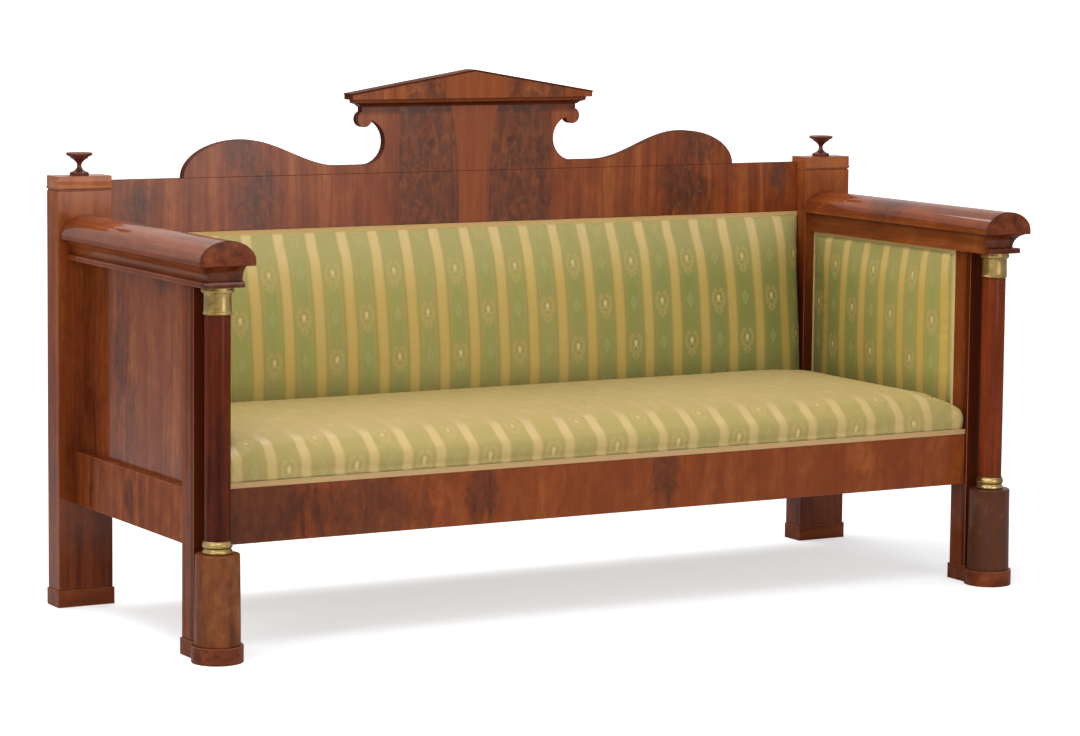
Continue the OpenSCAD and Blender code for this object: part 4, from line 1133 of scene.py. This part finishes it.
def blown(made, cap, shrink):
    """Lets the cover fill out under the pressure of its stuffing, by at most cap metres. shrink below
    0 lets its cloth grow."""
    start = [v.co.copy() for v in made.data.vertices]
    cloth = made.modifiers.new("cover", "CLOTH")
    for key, value in (("quality", 5), ("mass", 0.25), ("tension_stiffness", 18),
                       ("compression_stiffness", 18), ("shear_stiffness", 8), ("bending_stiffness", 0.6),
                       ("use_pressure", True), ("uniform_pressure_force", PRESSURE),
                       ("vertex_group_mass", "held"), ("shrink_min", shrink)):
        setattr(cloth.settings, key, value)
    cloth.settings.effector_weights.gravity = 0
    cloth.collision_settings.use_self_collision = False
    cloth.point_cache.frame_start = 1
    cloth.point_cache.frame_end = STEPS
    for number in range(1, STEPS + 1):
        scene.frame_set(number)
    shaped = applied(made)
    for vertex, first in zip(shaped.vertices, start):
        move = vertex.co - first
        if move.length > cap:
            vertex.co = first + move.normalized() * cap
    old = made.data
    made.data = shaped
    bpy.data.meshes.remove(old)
    scene.frame_set(1)


def finish_pad(made, material, node, low, high):
    """Keeps the pad between two corners, gives it its cloth and hides the CAD part it stands for."""
    mesh = made.data
    for vertex in mesh.vertices:
        for i in range(3):
            vertex.co[i] = min(max(vertex.co[i], low[i]), high[i])
    mesh.materials.clear()
    mesh.materials.append(material)
    even_shading(mesh)
    made.vertex_groups.clear()
    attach(made, "root")
    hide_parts(node)


def tucked(made, rims, sink=None):
    """Stretches the rim of a cover, over its last 30 mm, to where its braid or frame hides it. rims: axis,
    direction, where the braid begins and how far the cloth runs on; sink: axis, direction and place of
    the cloth under the braid."""
    points = made.data.vertices
    for axis, way, place, run_on in rims:
        reach = max(v.co[axis] * way for v in points)
        gain = place * way + run_on - reach
        for v in points:
            share = min(max(1 - (reach - v.co[axis] * way) / RIM_ZONE, 0.0), 1.0)
            v.co[axis] += way * gain * share * share * (3 - 2 * share)
    if sink:
        across, way_in, level = sink
        for v in points:
            hidden = any(v.co[axis] * way > place * way for axis, way, place, run_on in rims)
            if hidden and v.co[across] * way_in < level * way_in:
                v.co[across] = level


SEAT_LOW = lo("seat_pad").z
seat = pinned_form("seat_cushion", "seat_pad", 0.008, lambda p: p.z < SEAT_LOW + 0.006)
blown(seat, 0.011, -0.009)
finish_pad(seat, seat_cloth, "seat_pad", (-WIDE, -WIDE, SEAT_LOW), (WIDE, WIDE, WIDE))

BACK_FLAT = hi("back_pad").y
BACK_TOP = hi("back_pad").z
BACK_SIDE = POST_IN - 0.0003
back = pinned_form("back_cushion", "back_pad", 0.0062,
                   lambda p: p.y > BACK_FLAT - 0.003 or p.z > BACK_TOP - 0.005)
blown(back, 0.006, -0.006)
finish_pad(back, back_cloth, "back_pad", (-BACK_SIDE, -WIDE, -WIDE), (BACK_SIDE, BACK_FLAT, WIDE))
tucked(back, [(2, 1, BACK_TOP, 0.0035)], (1, 1, hi("back_braid").y - 0.0014))
tucked(back, [(0, 1, POST_IN - 0.0004, 0.0), (0, -1, 0.0004 - POST_IN, 0.0)])

ARM_RUN_ON = 0.0045
for side, sign in (("right", 1), ("left", -1)):
    node = "arm_pad_" + side
    low, high = lo(node), hi(node)
    flat = high.x if sign > 0 else low.x
    rim = Vector((0, 0.006, 0.006))
    inner_low, inner_high = low + rim, high - rim
    pad = pinned_form("arm_cushion_" + side, node, 0.005,
                      lambda p: abs(p.x - flat) < 0.003 or not (inner_low.y < p.y < inner_high.y
                                                                and inner_low.z < p.z < inner_high.z))
    blown(pad, 0.003, -0.004)
    finish_pad(pad, arm_cloth, node, (-WIDE if sign > 0 else flat, low.y, low.z),
               (flat if sign > 0 else WIDE, high.y, high.z))
    tucked(pad, [(2, 1, high.z, ARM_RUN_ON), (1, -1, low.y, ARM_RUN_ON), (1, 1, high.y, ARM_RUN_ON)],
           (0, sign, flat - sign * 0.0012))

# ------------------------------------------------------------------ braid

BRAID_W, BRAID_T = 0.011, 0.002

# Its section from edge to edge, as shares of its width and thickness
GIMP_SECTION = [(0.0, 0.0), (0.0, 0.55), (0.03, 0.85), (0.08, 1.0), (0.14, 0.92), (0.18, 0.62),
                (0.24, 0.55), (0.32, 0.72), (0.42, 0.78), (0.50, 0.60), (0.58, 0.78), (0.68, 0.72),
                (0.76, 0.55), (0.82, 0.62), (0.86, 0.92), (0.92, 1.0), (0.97, 0.85), (1.0, 0.55),
                (1.0, 0.0)]


def gimp(start, run, width, out):
    """A length of gimp: corded edges and two low ribs. start is the lower corner, out points outwards."""
    start, width, out = Vector(start), Vector(width), Vector(out)
    return pulled([start + width * across + out * up for across, up in GIMP_SECTION], run)


for name, node, braid in (("seat_gimp", "seat_braid", braid_x), ("back_gimp", "back_braid", braid_back)):
    low, high = lo(node), hi(node)
    piece(name, gimp((low.x, high.y, low.z), (high.x - low.x, 0, 0), (0, 0, BRAID_W), (0, -BRAID_T, 0)),
          braid, node, sharp=60)
for side, sign in (("right", 1), ("left", -1)):
    node = "arm_braid_" + side
    low, high = lo(node), hi(node)
    flat = high.x if sign > 0 else low.x
    out = (-sign * BRAID_T, 0, 0)
    upright = (0, 0, high.z - BRAID_W - low.z)
    piece("arm_gimp_top_" + side,
          gimp((flat, low.y, high.z - BRAID_W), (0, high.y - low.y, 0), (0, 0, BRAID_W), out),
          braid_y, node, sharp=60)
    for label, y in (("front", low.y), ("back", high.y - BRAID_W)):
        piece("arm_gimp_%s_%s" % (label, side),
              gimp((flat, y, low.z), upright, (0, BRAID_W, 0), out), braid_z, slot="gold_braid", sharp=60)

# ------------------------------------------------------------------ hidden wood and cloth, as in the CAD

for material, plain_nodes in (
        (frame_wood_x, ("rear_rail", "back_lower_rail")),
        (frame_wood_y, ("cross_bars", "corner_blocks", "arm_backing_left", "arm_backing_right")),
        (frame_wood_z, ("back_uprights", "column_dowels", "crest_dowels")),
        (web_cloth, ("seat_webbing",)), (web_cloth_back, ("back_webbing",)),
        (sack_cloth, ("seat_sackcloth", "back_sackcloth")), (lining_cloth, ("back_lining",))):
    for node in plain_nodes:
        nodes[node].data.materials.clear()
        nodes[node].data.materials.append(material)

# ------------------------------------------------------------------ floor, light and camera

bm = bmesh.new()
bmesh.ops.create_grid(bm, x_segments=1, y_segments=1, size=30.0)
floor = meshed("studio_floor", bm)
paper = bpy.data.materials.new("white_paper")
paper.use_nodes = True
tree = paper.node_tree
tree.nodes.clear()
# To the camera the paper glows up to the white of the photo; the glow lights nothing
matt = add(tree, "ShaderNodeBsdfDiffuse", {"Color": (0.800, 0.812, 0.830, 1)})
far = vectors("LENGTH", own_coordinates(tree))
seen = add(tree, "ShaderNodeLightPath")["Is Camera Ray"]
glow = add(tree, "ShaderNodeEmission", {"Color": (1, 1, 1, 1),
                                        "Strength": seen * step(far, 2.2, 8.0, 0.47, 1.1)})
both = add(tree, "ShaderNodeAddShader", {0: matt[0], 1: glow[0]})
add(tree, "ShaderNodeOutputMaterial", {0: both[0]})
floor.data.materials.append(paper)

world = bpy.data.worlds.new("studio")
scene.world = world
world.use_nodes = True
tree = world.node_tree
tree.nodes.clear()
path = add(tree, "ShaderNodeLightPath")
plain = add(tree, "ShaderNodeBackground", {"Color": (1, 1, 1, 1), "Strength": 0.50})
white = add(tree, "ShaderNodeBackground", {"Color": (1, 1, 1, 1), "Strength": 1.0})
clear = larger(larger(path["Is Camera Ray"], path["Is Transmission Ray"]), path["Is Glossy Ray"])
mixed = add(tree, "ShaderNodeMixShader", {0: clear, 1: plain[0], 2: white[0]})
add(tree, "ShaderNodeOutputWorld", {0: mixed[0]})


def lamp(name, place, aim, size, power):
    light = bpy.data.lights.new(name, "AREA")
    light.shape = "RECTANGLE"
    light.size, light.size_y = size
    light.energy = power
    made = bpy.data.objects.new(name, light)
    made.location = place
    made.rotation_euler = (Vector(aim) - Vector(place)).to_track_quat("-Z", "Y").to_euler()
    scene.collection.objects.link(made)


lamp("top_softbox", (-0.5, 1.4, 3.4), (0, 0.1, 0.5), (3.4, 1.8), 95)
lamp("high_softbox", (-0.7, -1.5, 3.3), (-0.1, 0.1, 0.5), (2.6, 1.4), 36)
lamp("left_softbox", (-3.8, -1.6, 2.0), (0, 0, 0.6), (1.6, 2.2), 36)
lamp("front_softbox", (1.2, -4.6, 1.6), (-0.1, 0, 0.6), (1.7, 2.4), 54)
lamp("fill_softbox", (-2.2, -4.4, 2.2), (0, 0, 0.5), (1.6, 1.6), 30)

CAMERA_PLACE = (-3.783, -6.5228, 1.405)
CAMERA_ANGLES = (-29.932, -5.849, 0.568)
camera_data = bpy.data.cameras.new("portrait_camera")
camera_data.sensor_width = 36.0
camera_data.lens = 117.52
camera_data.shift_x = 0.0009
camera_data.shift_y = -0.0597
camera_data.clip_end = 100
camera = bpy.data.objects.new("portrait_camera", camera_data)
yaw, pitch, roll = (math.radians(a) for a in CAMERA_ANGLES)
ahead = Vector((-math.sin(yaw) * math.cos(pitch), math.cos(yaw) * math.cos(pitch), math.sin(pitch)))
right = ahead.cross(Vector((0, 0, 1))).normalized()
up = right.cross(ahead)
right, up = (right * math.cos(roll) + up * math.sin(roll), up * math.cos(roll) - right * math.sin(roll))
turn = Matrix((right, up, -ahead)).transposed()
camera.matrix_world = Matrix.Translation(CAMERA_PLACE) @ turn.to_4x4()
scene.collection.objects.link(camera)
scene.camera = camera
scene.view_settings.view_transform = "Standard"
